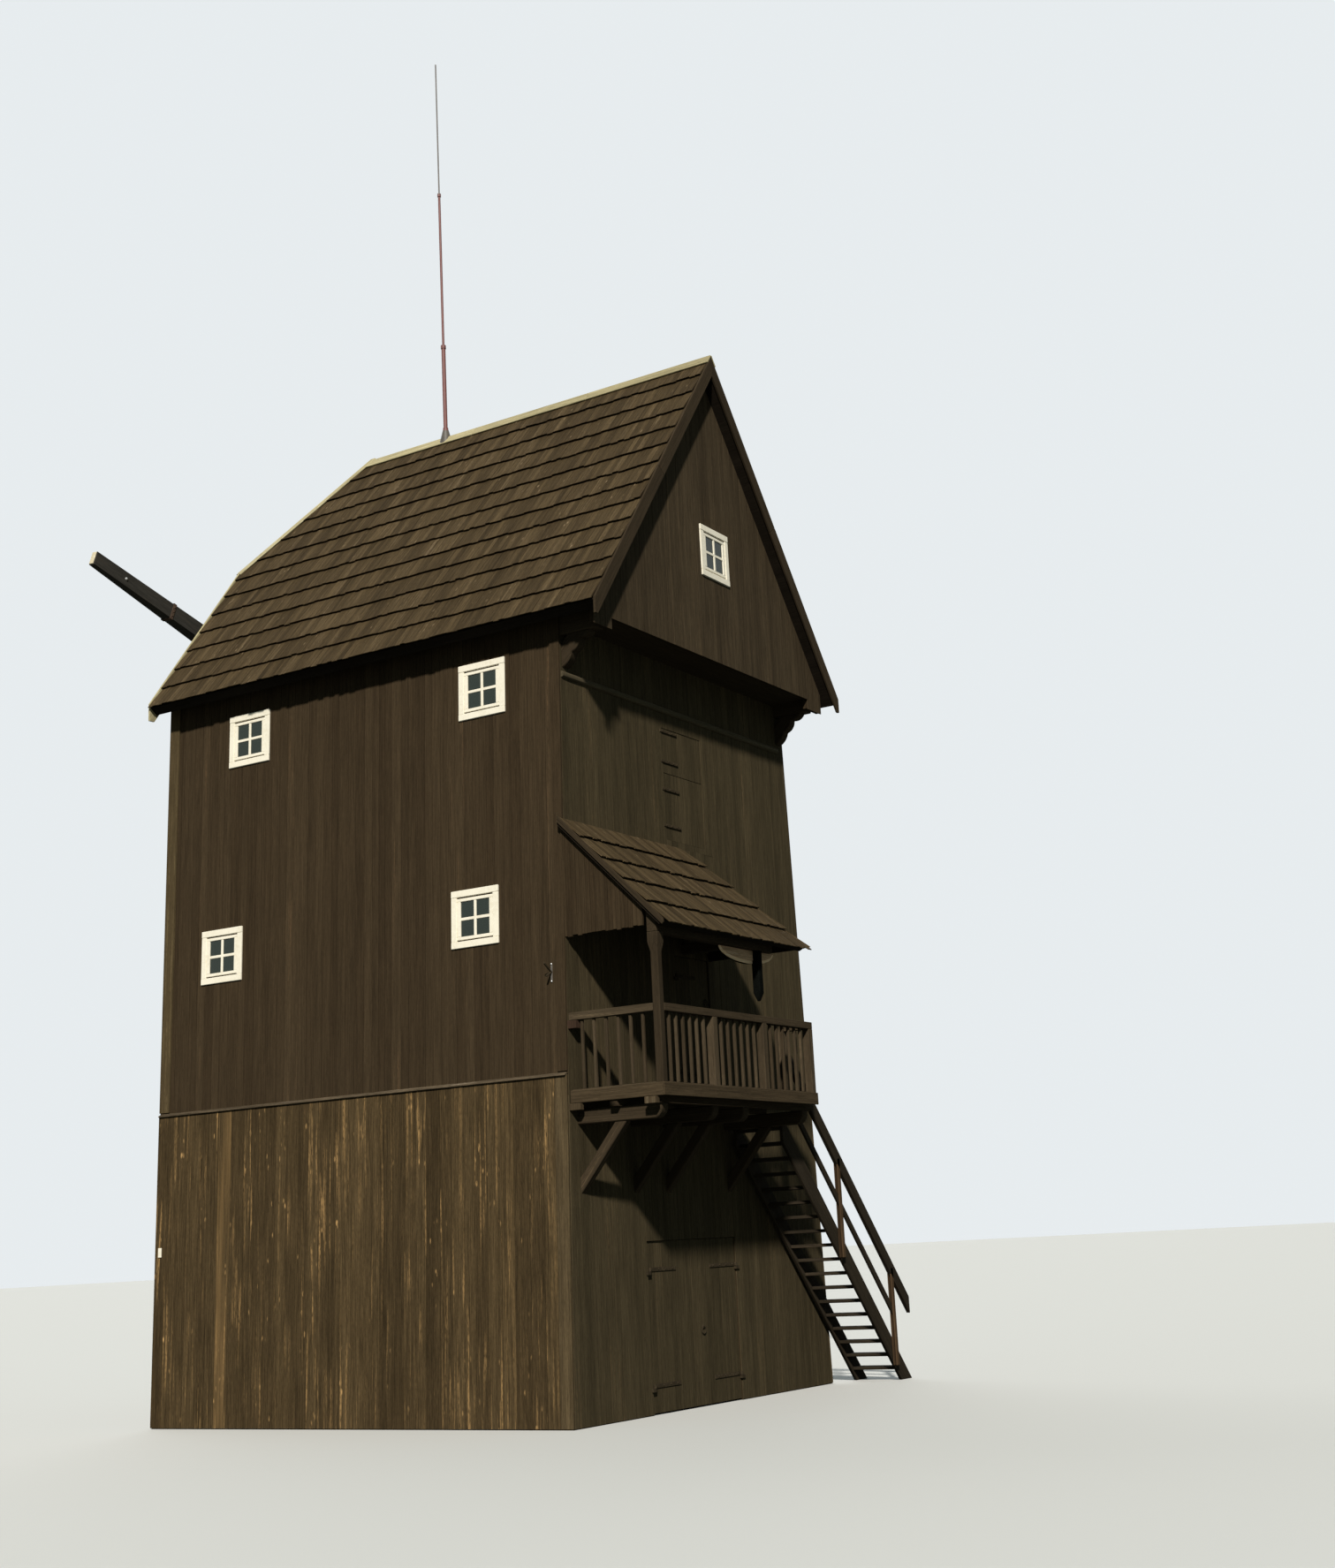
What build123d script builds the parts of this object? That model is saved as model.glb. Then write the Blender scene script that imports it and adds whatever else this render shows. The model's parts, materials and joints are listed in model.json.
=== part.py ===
from build123d import *
import os
from math import atan, cos, hypot, radians, sin, tan

os.makedirs("parts", exist_ok=True)

# The mill stands on the ground at Z 0, with its middle at the origin.
# The tail wall with the porch faces -Y, the sails turn in front of the +Y wall.

# Body
ground_half_width = 2800
wall_lean = 0.033
body_half_length = 2970
wall_thickness = 160
skirt_proud = 20
drip_board_depth = 60
drip_board_height = 45
drip_board_lip = 15
plate_drop = 150

# Storeys, each from one walking surface to the next
ground_floor_top = 100
ground_storey_height = 3300
entrance_storey_height = 2920
upper_storey_height = 2280
floor_thickness = 100
skirt_over_floor = 170
hatchway_width = 900
hatchway_length = 1300
hatchway_x = 1400
hatchway_y = 1300

# Roof
eave_overhang = 60
eave_over_floor = 40
roof_rise = 3820
roof_thickness = 120
rear_verge_overhang = 705
front_verge_overhang = 40
hip_rise = 1650
hip_run = 1240
ridge_board_width = 170
ridge_board_thickness = 22
verge_board_depth = 150
verge_board_thickness = 28

# Jettied tail gable
gable_setback = 150
gable_thickness = 60
gable_tab_inset = 200
gable_tab_width = 360
gable_tab_drop = 130
jetty_floor_thickness = 60
gable_window_x = 70
gable_window_height = 1350
bracket_width = 130
bracket_inset = 20
bracket_height = 370
bracket_reach = 410
bracket_low_waist_reach = 150
bracket_low_waist_drop = 210
bracket_high_waist_reach = 260
bracket_high_waist_drop = 65
bracket_bulge = 32
bracket_opening_reach = 105
bracket_opening_drop = 115
moulding_drop = 600
moulding_height = 70
moulding_depth = 45
moulding_chamfer = 15
moulding_left_inset = 270
moulding_right_inset = 400

# Windows, the places on the long walls as Y and height over their floor
casing_size = 650
window_hole = 440
pane_size = 400
casing_thickness = 28
sash_depth = 60
glass_thickness = 6
glass_setback = 25
upper_windows = [(1635, 1740), (-1910, 1700)]
lower_windows = [(2020, 2025), (-1785, 2010)]

# Ground doors, their sides measured from the left corner of the tail wall at the ground
door_left_inset = 1490
door_right_inset = 3400
door_seam_inset = 2410
door_top = 1830
leaf_thickness = 50
leaf_recess = 5
leaf_gap = 5
leaf_lift = 20
ground_strap_heights = [300, 1525]
ground_strap_length = 560

# Porch door, its sides from the same corner, its strap heights over the entrance floor
porch_door_left_inset = 2370
porch_door_right_inset = 3130
porch_door_height = 1650
porch_leaf_lift = 10
porch_strap_heights = [300, 1420]
porch_strap_length = 440

# Hatch above the porch, two fixed leaves one over the other, its sides from the same corner
hatch_left_inset = 2340
hatch_right_inset = 3220
hatch_over_porch = 70
hatch_lower_height = 810
hatch_upper_height = 550
hatch_split_gap = 4
hatch_strap_heights = [170, 610, 950, 1320]
hatch_strap_length = 380
hatch_strap_overlap = 45

# Strap hinges
strap_height = 40
strap_thickness = 10
eye_radius = 18
pin_radius = 8
pin_clearance = 0.3
pin_offset = 25
pin_inset = 26
pintle_block_height = 36
pintle_reach = 70

# Balcony, with places of beams and posts from its left end
balcony_inset = 160
balcony_length = 3340
balcony_depth = 1160
balcony_beam_width = 130
balcony_beam_height = 150
balcony_beam_places = [155, 1180, 1840, 3195]
beam_nose_length = 90
beam_nose_lip = 38
beam_nose_radius = 120
beam_setback = 90
joist_height = 130
joist_width = 90
joist_left_overhang = 45
floor_board_thickness = 60
strut_foot_drop = 1070
strut_head_reach = 620
strut_depth = 110
strut_width = 100
rail_height = 830
rail_depth = 80
rail_width = 90
fascia_height = 60
fascia_thickness = 50
post_size = 90
post_places = [1110, 2205]
baluster_size = 32
balusters_per_bay = 6

# Stair, its drops and depths measured upright
stair_slope = 1.07
stair_riser_count = 20
stair_wall_gap = 60
stair_width = 665
stair_gap = 5
floor_bearing = 40
stringer_thickness = 40
stringer_depth = 320
stringer_drop = 207
tread_thickness = 40
tread_width = 220
tread_setback = 10
handrail_height = 950
handrail_run = 2860
handrail_depth = 140
handrail_width = 50
mid_rail_drop = 560
mid_rail_depth = 75
mid_rail_width = 30
stair_post_places = [1260, 2510]
stair_post_width = 65
newel_size = 90

# Porch roof, its heights over the entrance floor
porch_top_height = 2950
porch_top_right_inset = 890
porch_eave_height = 1670
porch_eave_right_inset = 290
porch_eave_overhang = 120
porch_left_overhang = 60
porch_roof_thickness = 60
cheek_thickness = 30
cheek_setback = 160
plate_width = 120
plate_height = 1570
plate_right_inset = 850
tie_depth = 110
tie_over_door = 30
post_head_size = 130
post_head_height = 210
pendant_inset = 300
pendant_length = 570
pendant_point_size = 30
pendant_point_height = 90
bolster_length = 1220
bolster_overrun = 150
bolster_depth = 150
bolster_thickness = 50

# Windshaft and stock
shaft_tilt = 5
hub_stand_off = 530
hub_over_floor = 950
shaft_radius = 225
shaft_tail = 4650
shaft_nose = 260
poll_size = 470
poll_length = 620
gudgeon_radius = 45
gudgeon_length = 230
gudgeon_clearance = 0.5
stock_angle = 16.2
stock_half_length = 3610
stock_root_size = 240
stock_root_half = 500
stock_tip_size = 190
stock_tip_thickness = 90
shaft_hole = 520
neck_beam_setback = 520
neck_beam_width = 300
neck_beam_drop = 250
neck_beam_depth = 370
tail_beam_width = 200
tail_beam_drop = 220

# Lightning rod, its joints measured over the ridge
rod_setback = 1310
rod_joint_heights = [1380, 3650, 5660]
rod_radii = [28, 17, 10]
rod_cap_radius = 95
rod_cap_top_radius = 38
rod_cap_height = 130
rod_cap_sink = 90

# Iron hook on the long wall
hook_inset = 170
hook_over_floor = 1290
hook_height = 130
hook_reach = 90
hook_tip_drop = 22
hook_thickness = 14

# Heights that follow from the storeys
entrance_floor_top = ground_floor_top + ground_storey_height
upper_floor_top = entrance_floor_top + entrance_storey_height
attic_floor_top = upper_floor_top + upper_storey_height
skirt_height = entrance_floor_top + skirt_over_floor
plate_bottom = attic_floor_top - plate_drop
eave_height = attic_floor_top + eave_over_floor
ridge_height = eave_height + roof_rise
hip_eave_height = ridge_height - hip_rise
porch_door_top = entrance_floor_top + porch_door_height
porch_top_z = entrance_floor_top + porch_top_height
hatch_bottom = porch_top_z + hatch_over_porch
hatch_split = hatch_bottom + hatch_lower_height
hatch_top = hatch_split + hatch_upper_height
rail_top_z = entrance_floor_top + rail_height
porch_eave_z = entrance_floor_top + porch_eave_height
plate_bottom_z = entrance_floor_top + plate_height
pendant_bottom_z = plate_bottom_z - pendant_length

# Places across and along the mill that follow from the body
eave_half_width = ground_half_width + eave_overhang
rear_verge_y = -body_half_length - rear_verge_overhang
front_verge_y = body_half_length + front_verge_overhang
ridge_end_y = front_verge_y - hip_run
gable_outer_y = rear_verge_y + gable_setback
wall_face_y = -body_half_length
door_left_x = door_left_inset - ground_half_width
door_right_x = door_right_inset - ground_half_width
door_seam_x = door_seam_inset - ground_half_width
porch_door_left_x = porch_door_left_inset - ground_half_width
porch_door_right_x = porch_door_right_inset - ground_half_width
hatch_left_x = hatch_left_inset - ground_half_width
hatch_right_x = hatch_right_inset - ground_half_width
balcony_left_x = balcony_inset - ground_half_width
balcony_right_x = balcony_left_x + balcony_length
balcony_front_y = wall_face_y - balcony_depth
balcony_beam_xs = [balcony_left_x + place for place in balcony_beam_places]
post_xs = [balcony_left_x + place for place in post_places]
stair_inner_y = wall_face_y - stair_wall_gap
stair_outer_y = stair_inner_y - stair_width
stair_top_x = balcony_beam_xs[-1] + balcony_beam_width / 2
stair_post_xs = [stair_top_x + place for place in stair_post_places]
floor_right_x = stair_top_x - balcony_beam_width + floor_bearing
porch_left_x = balcony_left_x - porch_left_overhang
porch_top_right_x = balcony_right_x - porch_top_right_inset
porch_eave_right_x = balcony_right_x - porch_eave_right_inset
porch_eave_y = balcony_front_y - porch_eave_overhang
plate_right_x = balcony_right_x - plate_right_inset
pendant_x = plate_right_x - pendant_inset
bolster_right_x = plate_right_x + bolster_overrun
bolster_left_x = bolster_right_x - bolster_length
hub_y = body_half_length + hub_stand_off
hub_z = attic_floor_top + hub_over_floor
neck_beam_y = body_half_length - neck_beam_setback
rod_y = ridge_end_y - rod_setback


lean_angle = atan(wall_lean)


def keep(piece, label):
    """Name a finished piece and write it."""
    piece.part.label = label
    export_step(piece.part, f"parts/{label}.step")


def plane_at_y(y):
    """The upright plane across the mill at Y, seen from the tail, X to the right and Z up."""
    return Plane.XZ.offset(-y)


def outer_half_width(z):
    """Half the width of the body over its walls at a height."""
    return ground_half_width - wall_lean * z


def inner_half_width(z):
    """Half the width of the rooms at a height."""
    return outer_half_width(z) - wall_thickness / cos(lean_angle)


# Planes of the roof and the space under it
slope_angle = atan((ridge_height - eave_height) / eave_half_width)
hip_angle = atan((ridge_height - hip_eave_height) / (front_verge_y - ridge_end_y))
roof_plumb_thickness = roof_thickness / cos(slope_angle)
ridge_end = Vector(0, ridge_end_y, ridge_height)
left_normal = Vector(-sin(slope_angle), 0, cos(slope_angle))
hip_normal = Vector(0, sin(hip_angle), cos(hip_angle))
roof_span = front_verge_y - rear_verge_y


def roof_underside(x):
    """Height of the underside of the main slopes at X."""
    return ridge_height - roof_plumb_thickness - abs(x) * tan(slope_angle)


under_roof_reach = eave_half_width + roof_thickness
with BuildPart() as under_roof:
    with BuildSketch(plane_at_y(front_verge_y)):
        with BuildLine():
            Polyline(
                (-under_roof_reach, 0),
                (under_roof_reach, 0),
                (under_roof_reach, roof_underside(under_roof_reach)),
                (0, roof_underside(0)),
                (-under_roof_reach, roof_underside(under_roof_reach)),
                close=True,
            )
        make_face()
    extrude(amount=roof_span)
    hip_inner = Plane(origin=ridge_end - hip_normal * roof_thickness, z_dir=hip_normal)
    split(bisect_by=hip_inner, keep=Keep.BOTTOM)


def body_slice(z_low, z_high, y_low, y_high, half_width):
    """A slice of the body between two heights, as wide as half_width says."""
    with BuildPart() as piece:
        with BuildSketch(plane_at_y(y_high)):
            with BuildLine():
                Polyline(
                    (-half_width(z_low), z_low),
                    (half_width(z_low), z_low),
                    (half_width(z_high), z_high),
                    (-half_width(z_high), z_high),
                    close=True,
                )
            make_face()
        extrude(amount=y_high - y_low)
    return piece


# Long walls, leaning inwards, with their windows cut through
wall_out = Vector(-cos(lean_angle), 0, sin(lean_angle))
left_wall_face = Plane(origin=(-ground_half_width, 0, 0), x_dir=(0, -1, 0), z_dir=wall_out)
wall_run = 1 / cos(lean_angle)


def long_wall(z_low, z_high, proud, windows):
    """The wall on the -X side between two heights."""
    overshoot = wall_thickness
    with BuildPart() as wall:
        with BuildSketch(left_wall_face.offset(proud)):
            with Locations((0, (z_low + z_high) / 2 * wall_run)):
                Rectangle(2 * body_half_length, (z_high - z_low) * wall_run + 2 * overshoot)
            for y, z in windows:
                with Locations((-y, z * wall_run)):
                    Rectangle(window_hole, window_hole, mode=Mode.SUBTRACT)
        extrude(amount=-(wall_thickness + proud))
        split(bisect_by=Plane.XY.offset(z_low), keep=Keep.TOP)
        split(bisect_by=Plane.XY.offset(z_high), keep=Keep.BOTTOM)
    return wall


def mirrored(piece):
    """The same piece on the other long side."""
    with BuildPart() as other:
        add(mirror(piece.part, about=Plane.YZ))
    return other


def both_sides(piece):
    """A piece and its mirror image, as two solids of one sub-part."""
    with BuildPart() as pair:
        add(piece.part)
        add(mirror(piece.part, about=Plane.YZ))
    return pair


left_wall_base = long_wall(0, skirt_height, skirt_proud, [])
keep(left_wall_base, "left_wall_base")
keep(mirrored(left_wall_base), "right_wall_base")
long_wall_windows = [(y, upper_floor_top + height) for y, height in upper_windows]
long_wall_windows += [(y, entrance_floor_top + height) for y, height in lower_windows]
left_wall_upper = long_wall(skirt_height, plate_bottom, 0, long_wall_windows)
keep(left_wall_upper, "left_wall_upper")
keep(mirrored(left_wall_upper), "right_wall_upper")

# Wall plates on top of the long walls, running out to carry the tail gable
plate_outer = outer_half_width(plate_bottom)
plate_inner = inner_half_width(plate_bottom)
gable_inner_y = gable_outer_y + gable_thickness
with BuildPart() as left_plate:
    with BuildSketch(plane_at_y(body_half_length)):
        with BuildLine():
            Polyline(
                (-plate_outer, plate_bottom),
                (-plate_inner, plate_bottom),
                (-plate_inner, roof_underside(plate_inner)),
                (-plate_outer, roof_underside(plate_outer)),
                close=True,
            )
        make_face()
    extrude(amount=body_half_length - gable_inner_y)
keep(both_sides(left_plate), "wall_plates")

# Drip boards over the skirt
with BuildPart() as left_drip:
    with BuildSketch(plane_at_y(body_half_length)):
        with BuildLine():
            Polyline(
                (-outer_half_width(skirt_height), skirt_height),
                (-outer_half_width(skirt_height) - drip_board_depth, skirt_height),
                (-outer_half_width(skirt_height) - drip_board_depth, skirt_height + drip_board_lip),
                (-outer_half_width(skirt_height + drip_board_height), skirt_height + drip_board_height),
                close=True,
            )
        make_face()
    extrude(amount=2 * body_half_length)
keep(both_sides(left_drip), "drip_boards")

# Tail wall, split beside and over its doorways
rear_inner_y = -body_half_length + wall_thickness


def rear_wall_piers(z_low, z_high, left_x, right_x):
    """The tail wall left and right of a doorway."""
    wall = body_slice(z_low, z_high, -body_half_length, rear_inner_y, inner_half_width)
    with BuildPart() as piers:
        add(wall.part)
        with Locations(((left_x + right_x) / 2, wall_face_y, z_low)):
            Box(
                right_x - left_x,
                wall_thickness,
                z_high - z_low,
                align=(Align.CENTER, Align.MIN, Align.MIN),
                mode=Mode.SUBTRACT,
            )
    return piers


keep(rear_wall_piers(0, door_top, door_left_x, door_right_x), "rear_wall_door_piers")
rear_band = body_slice(door_top, entrance_floor_top, -body_half_length, rear_inner_y, inner_half_width)
keep(rear_band, "rear_wall_band")
porch_piers = rear_wall_piers(entrance_floor_top, porch_door_top, porch_door_left_x, porch_door_right_x)
keep(porch_piers, "rear_wall_porch_piers")
rear_upper = body_slice(porch_door_top, attic_floor_top, -body_half_length, rear_inner_y, inner_half_width)
hatch_middle_x = (hatch_left_x + hatch_right_x) / 2
hatch_width = hatch_right_x - hatch_left_x
with BuildPart() as rear_wall_upper:
    add(rear_upper.part)
    with Locations((hatch_middle_x, wall_face_y, hatch_bottom)):
        Box(
            hatch_width,
            wall_thickness,
            hatch_top - hatch_bottom,
            align=(Align.CENTER, Align.MIN, Align.MIN),
            mode=Mode.SUBTRACT,
        )
keep(rear_wall_upper, "rear_wall_upper")

# Sail-side wall and its gable, with the hole for the windshaft
front_inner_y = body_half_length - wall_thickness
front_base = body_slice(0, skirt_height, front_inner_y, body_half_length, inner_half_width)
keep(front_base, "front_wall_base")
front_upper = body_slice(skirt_height, attic_floor_top, front_inner_y, body_half_length, inner_half_width)
keep(front_upper, "front_wall_upper")
front_gable_blank = body_slice(
    attic_floor_top, ridge_height, front_inner_y, body_half_length, lambda z: plate_inner
)
shaft_axis = Vector(0, cos(radians(shaft_tilt)), sin(radians(shaft_tilt)))
hub = Vector(0, hub_y, hub_z)


def shaft_height(y):
    """Height of the windshaft's axis at Y."""
    return hub_z + (y - hub_y) * tan(radians(shaft_tilt))


with BuildPart() as front_gable:
    add(front_gable_blank.part)
    add(under_roof.part, mode=Mode.INTERSECT)
    with Locations((0, front_inner_y, shaft_height(body_half_length - wall_thickness / 2))):
        Box(
            shaft_hole,
            wall_thickness,
            shaft_hole,
            align=(Align.CENTER, Align.MIN, Align.CENTER),
            mode=Mode.SUBTRACT,
        )
keep(front_gable, "front_gable_wall")

# Tail gable, jettied out over the tail wall, with a tab down over each wall plate
gable_tab_outer_x = eave_half_width - gable_tab_inset
gable_tab_inner_x = gable_tab_outer_x - gable_tab_width
gable_tab_bottom = attic_floor_top - gable_tab_drop
gable_window_z = attic_floor_top + gable_window_height
with BuildPart() as rear_gable:
    with BuildSketch(plane_at_y(gable_inner_y)):
        with BuildLine():
            Polyline(
                (-gable_tab_outer_x, gable_tab_bottom),
                (-gable_tab_inner_x, gable_tab_bottom),
                (-gable_tab_inner_x, attic_floor_top),
                (gable_tab_inner_x, attic_floor_top),
                (gable_tab_inner_x, gable_tab_bottom),
                (gable_tab_outer_x, gable_tab_bottom),
                (gable_tab_outer_x, ridge_height),
                (-gable_tab_outer_x, ridge_height),
                close=True,
            )
        make_face()
        with Locations((gable_window_x, gable_window_z)):
            Rectangle(window_hole, window_hole, mode=Mode.SUBTRACT)
    extrude(amount=gable_thickness)
    add(under_roof.part, mode=Mode.INTERSECT)
keep(rear_gable, "rear_gable_wall")

with BuildPart() as jetty_floor:
    jetty_depth = rear_inner_y - gable_inner_y
    with BuildSketch(Plane.XY.offset(attic_floor_top)):
        with Locations((0, (rear_inner_y + gable_inner_y) / 2)):
            Rectangle(2 * plate_inner, jetty_depth)
    extrude(amount=jetty_floor_thickness)
keep(jetty_floor, "jetty_floor")

# Scrolled brackets under the ends of the wall plates, open in the angle between wall and plate
def bracket_point(reach, drop):
    """A point of the bracket's outline, out from the wall and down from the plate."""
    return (wall_face_y - reach, plate_bottom - drop)


def bulged(start, end):
    """The middle of a scroll from start to end, pushed out and down by the bulge."""
    run = end[0] - start[0]
    rise = end[1] - start[1]
    length = hypot(run, rise)
    return (
        (start[0] + end[0]) / 2 - bracket_bulge * rise / length,
        (start[1] + end[1]) / 2 + bracket_bulge * run / length,
    )


bracket_x = plate_outer - bracket_inset - bracket_width
bracket_toe = bracket_point(0, bracket_height)
bracket_tip = bracket_point(bracket_reach, 0)
bracket_scrolls = (
    bracket_toe,
    bracket_point(bracket_low_waist_reach, bracket_low_waist_drop),
    bracket_point(bracket_high_waist_reach, bracket_high_waist_drop),
    bracket_tip,
)
with BuildPart() as bracket:
    with BuildSketch(Plane.YZ.offset(bracket_x)):
        with BuildLine():
            Polyline(
                bracket_tip,
                bracket_point(bracket_opening_reach, 0),
                bracket_point(0, bracket_opening_drop),
                bracket_toe,
            )
            for start, end in zip(bracket_scrolls, bracket_scrolls[1:]):
                ThreePointArc(start, bulged(start, end), end)
        make_face()
    extrude(amount=bracket_width)
keep(both_sides(bracket), "gable_brackets")

moulding_left_x = moulding_left_inset - ground_half_width
moulding_right_x = ground_half_width - moulding_right_inset
with BuildPart() as moulding:
    with Locations(((moulding_left_x + moulding_right_x) / 2, wall_face_y, attic_floor_top - moulding_drop)):
        Box(
            moulding_right_x - moulding_left_x,
            moulding_depth,
            moulding_height,
            align=(Align.CENTER, Align.MAX, Align.CENTER),
        )
    chamfer(moulding.edges().filter_by(Axis.X).group_by(Axis.Y)[0], moulding_chamfer)
keep(moulding, "moulding_strip")

# Floors between the inner faces of the walls, the upper three with a hatchway
def floor_slab(floor_top):
    """One floor, given by its walking surface."""
    return body_slice(floor_top - floor_thickness, floor_top, rear_inner_y, front_inner_y, inner_half_width)


keep(floor_slab(ground_floor_top), "ground_floor")
for label, floor_top in (
    ("entrance_floor", entrance_floor_top),
    ("upper_floor", upper_floor_top),
    ("attic_floor", attic_floor_top),
):
    with BuildPart() as floor:
        add(floor_slab(floor_top).part)
        with Locations((hatchway_x, hatchway_y, floor_top)):
            Box(
                hatchway_width,
                hatchway_length,
                floor_thickness,
                align=(Align.CENTER, Align.CENTER, Align.MAX),
                mode=Mode.SUBTRACT,
            )
    keep(floor, label)

# Main roof, two slopes and the half hip over the sail side
slab_drop = Vector(sin(slope_angle), -cos(slope_angle)) * roof_thickness
with BuildPart() as left_slope:
    with BuildSketch(plane_at_y(front_verge_y)):
        with BuildLine():
            Polyline(
                (-eave_half_width, eave_height),
                (0, ridge_height),
                (0, roof_underside(0)),
                (-eave_half_width + slab_drop.X, eave_height + slab_drop.Y),
                close=True,
            )
        make_face()
    extrude(amount=roof_span)
    mitre_left = Plane(origin=ridge_end, z_dir=hip_normal - left_normal)
    split(bisect_by=mitre_left, keep=Keep.BOTTOM)
keep(left_slope, "roof_left_slope")
keep(mirrored(left_slope), "roof_right_slope")

hip_drop = Vector(-sin(hip_angle), -cos(hip_angle)) * roof_thickness
hip_plumb_thickness = roof_thickness / cos(hip_angle)
with BuildPart() as hip:
    with BuildSketch(Plane.YZ.offset(-eave_half_width)):
        with BuildLine():
            Polyline(
                (front_verge_y, hip_eave_height),
                (ridge_end_y, ridge_height),
                (ridge_end_y, ridge_height - hip_plumb_thickness),
                (front_verge_y + hip_drop.X, hip_eave_height + hip_drop.Y),
                close=True,
            )
        make_face()
    extrude(amount=2 * eave_half_width)
    right_normal = Vector(-left_normal.X, left_normal.Y, left_normal.Z)
    mitre_right = Plane(origin=ridge_end, z_dir=hip_normal - right_normal)
    split(bisect_by=mitre_left, keep=Keep.TOP)
    split(bisect_by=mitre_right, keep=Keep.TOP)
keep(hip, "roof_hip")

board_drop = ridge_board_width * sin(slope_angle)
board_run = ridge_board_width * cos(slope_angle)
board_lift = ridge_board_thickness / cos(slope_angle)
with BuildPart() as ridge_boards:
    with BuildSketch(plane_at_y(ridge_end_y)):
        with BuildLine():
            Polyline(
                (0, ridge_height),
                (-board_run, ridge_height - board_drop),
                (-board_run, ridge_height - board_drop + board_lift),
                (0, ridge_height + board_lift),
                (board_run, ridge_height - board_drop + board_lift),
                (board_run, ridge_height - board_drop),
                close=True,
            )
        make_face()
    extrude(amount=ridge_end_y - rear_verge_y)
keep(ridge_boards, "ridge_boards")

verge_plumb = verge_board_depth / cos(slope_angle)
with BuildPart() as verge_boards:
    with BuildSketch(plane_at_y(rear_verge_y)):
        with BuildLine():
            Polyline(
                (-eave_half_width, eave_height),
                (0, ridge_height),
                (eave_half_width, eave_height),
                (eave_half_width, eave_height - verge_plumb),
                (0, ridge_height - verge_plumb),
                (-eave_half_width, eave_height - verge_plumb),
                close=True,
            )
        make_face()
    extrude(amount=verge_board_thickness)
keep(verge_boards, "verge_boards")

# Windows: a casing on the wall, the sash in its hole and the pane in the sash
def window_frame(face):
    """The casing and sash of one window, standing on its face plane."""
    with BuildPart() as frame:
        with BuildSketch(face):
            Rectangle(casing_size, casing_size)
            Rectangle(pane_size, pane_size, mode=Mode.SUBTRACT)
        extrude(amount=casing_thickness)
        with BuildSketch(face):
            Rectangle(window_hole, window_hole)
            Rectangle(pane_size, pane_size, mode=Mode.SUBTRACT)
        extrude(amount=-sash_depth)
    return frame


def window_glass(face):
    """The pane of one window."""
    with BuildPart() as pane:
        with BuildSketch(face.offset(-glass_setback)):
            Rectangle(pane_size, pane_size)
        extrude(amount=-glass_thickness)
    return pane


window_faces = []
for y, z in long_wall_windows:
    seat = left_wall_face.from_local_coords(Vector(-y, z * wall_run, 0))
    window_faces.append(Plane(origin=seat, x_dir=(0, -1, 0), z_dir=wall_out))
gable_face = Plane(origin=(gable_window_x, gable_outer_y, gable_window_z), x_dir=(1, 0, 0), z_dir=(0, -1, 0))
with BuildPart() as window_frames:
    for face in window_faces:
        frame = window_frame(face).part
        add(frame)
        add(mirror(frame, about=Plane.YZ))
    add(window_frame(gable_face).part)
keep(window_frames, "window_frames")
with BuildPart() as window_panes:
    for face in window_faces:
        pane = window_glass(face).part
        add(pane)
        add(mirror(pane, about=Plane.YZ))
    add(window_glass(gable_face).part)
keep(window_panes, "window_glass")

# Doors, hatch and their strap hinges
leaf_outer_y = -body_half_length + leaf_recess
pin_y = leaf_outer_y - pin_offset


def door_leaf(x_low, x_high, z_low, z_high):
    """One boarded door leaf."""
    with BuildPart() as leaf:
        with Locations(((x_low + x_high) / 2, leaf_outer_y, z_low)):
            Box(
                x_high - x_low,
                leaf_thickness,
                z_high - z_low,
                align=(Align.CENTER, Align.MIN, Align.MIN),
            )
    return leaf


def straps(pin_x, side, heights, length):
    """Strap hinges on a leaf, each an eye round its pin and a flat bar. Side is +1 to run along +X."""
    with BuildPart() as irons:
        for z in heights:
            with BuildSketch(Plane.XY.offset(z - strap_height / 2)):
                with Locations((pin_x, pin_y)):
                    Circle(eye_radius)
                with Locations((pin_x + side * length / 2, leaf_outer_y - strap_thickness / 2)):
                    Rectangle(length, strap_thickness)
                with Locations((pin_x, pin_y)):
                    Circle(pin_radius + pin_clearance, mode=Mode.SUBTRACT)
            extrude(amount=strap_height)
    return irons


def pintles(pin_x, side, heights):
    """Wall pins of a door, each on a block below its eye."""
    with BuildPart() as pins:
        for z in heights:
            eye_bottom = z - strap_height / 2
            with BuildSketch(Plane.XY.offset(eye_bottom - pintle_block_height)):
                with Locations((pin_x - side * (pintle_reach / 2 - pin_radius), -body_half_length)):
                    Rectangle(pintle_reach, pin_offset + pin_radius, align=(Align.CENTER, Align.MAX))
            extrude(amount=pintle_block_height - pin_clearance)
            with BuildSketch(Plane.XY.offset(eye_bottom - pintle_block_height)):
                with Locations((pin_x, pin_y)):
                    Circle(pin_radius)
            extrude(amount=pintle_block_height + strap_height)
    return pins


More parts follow.
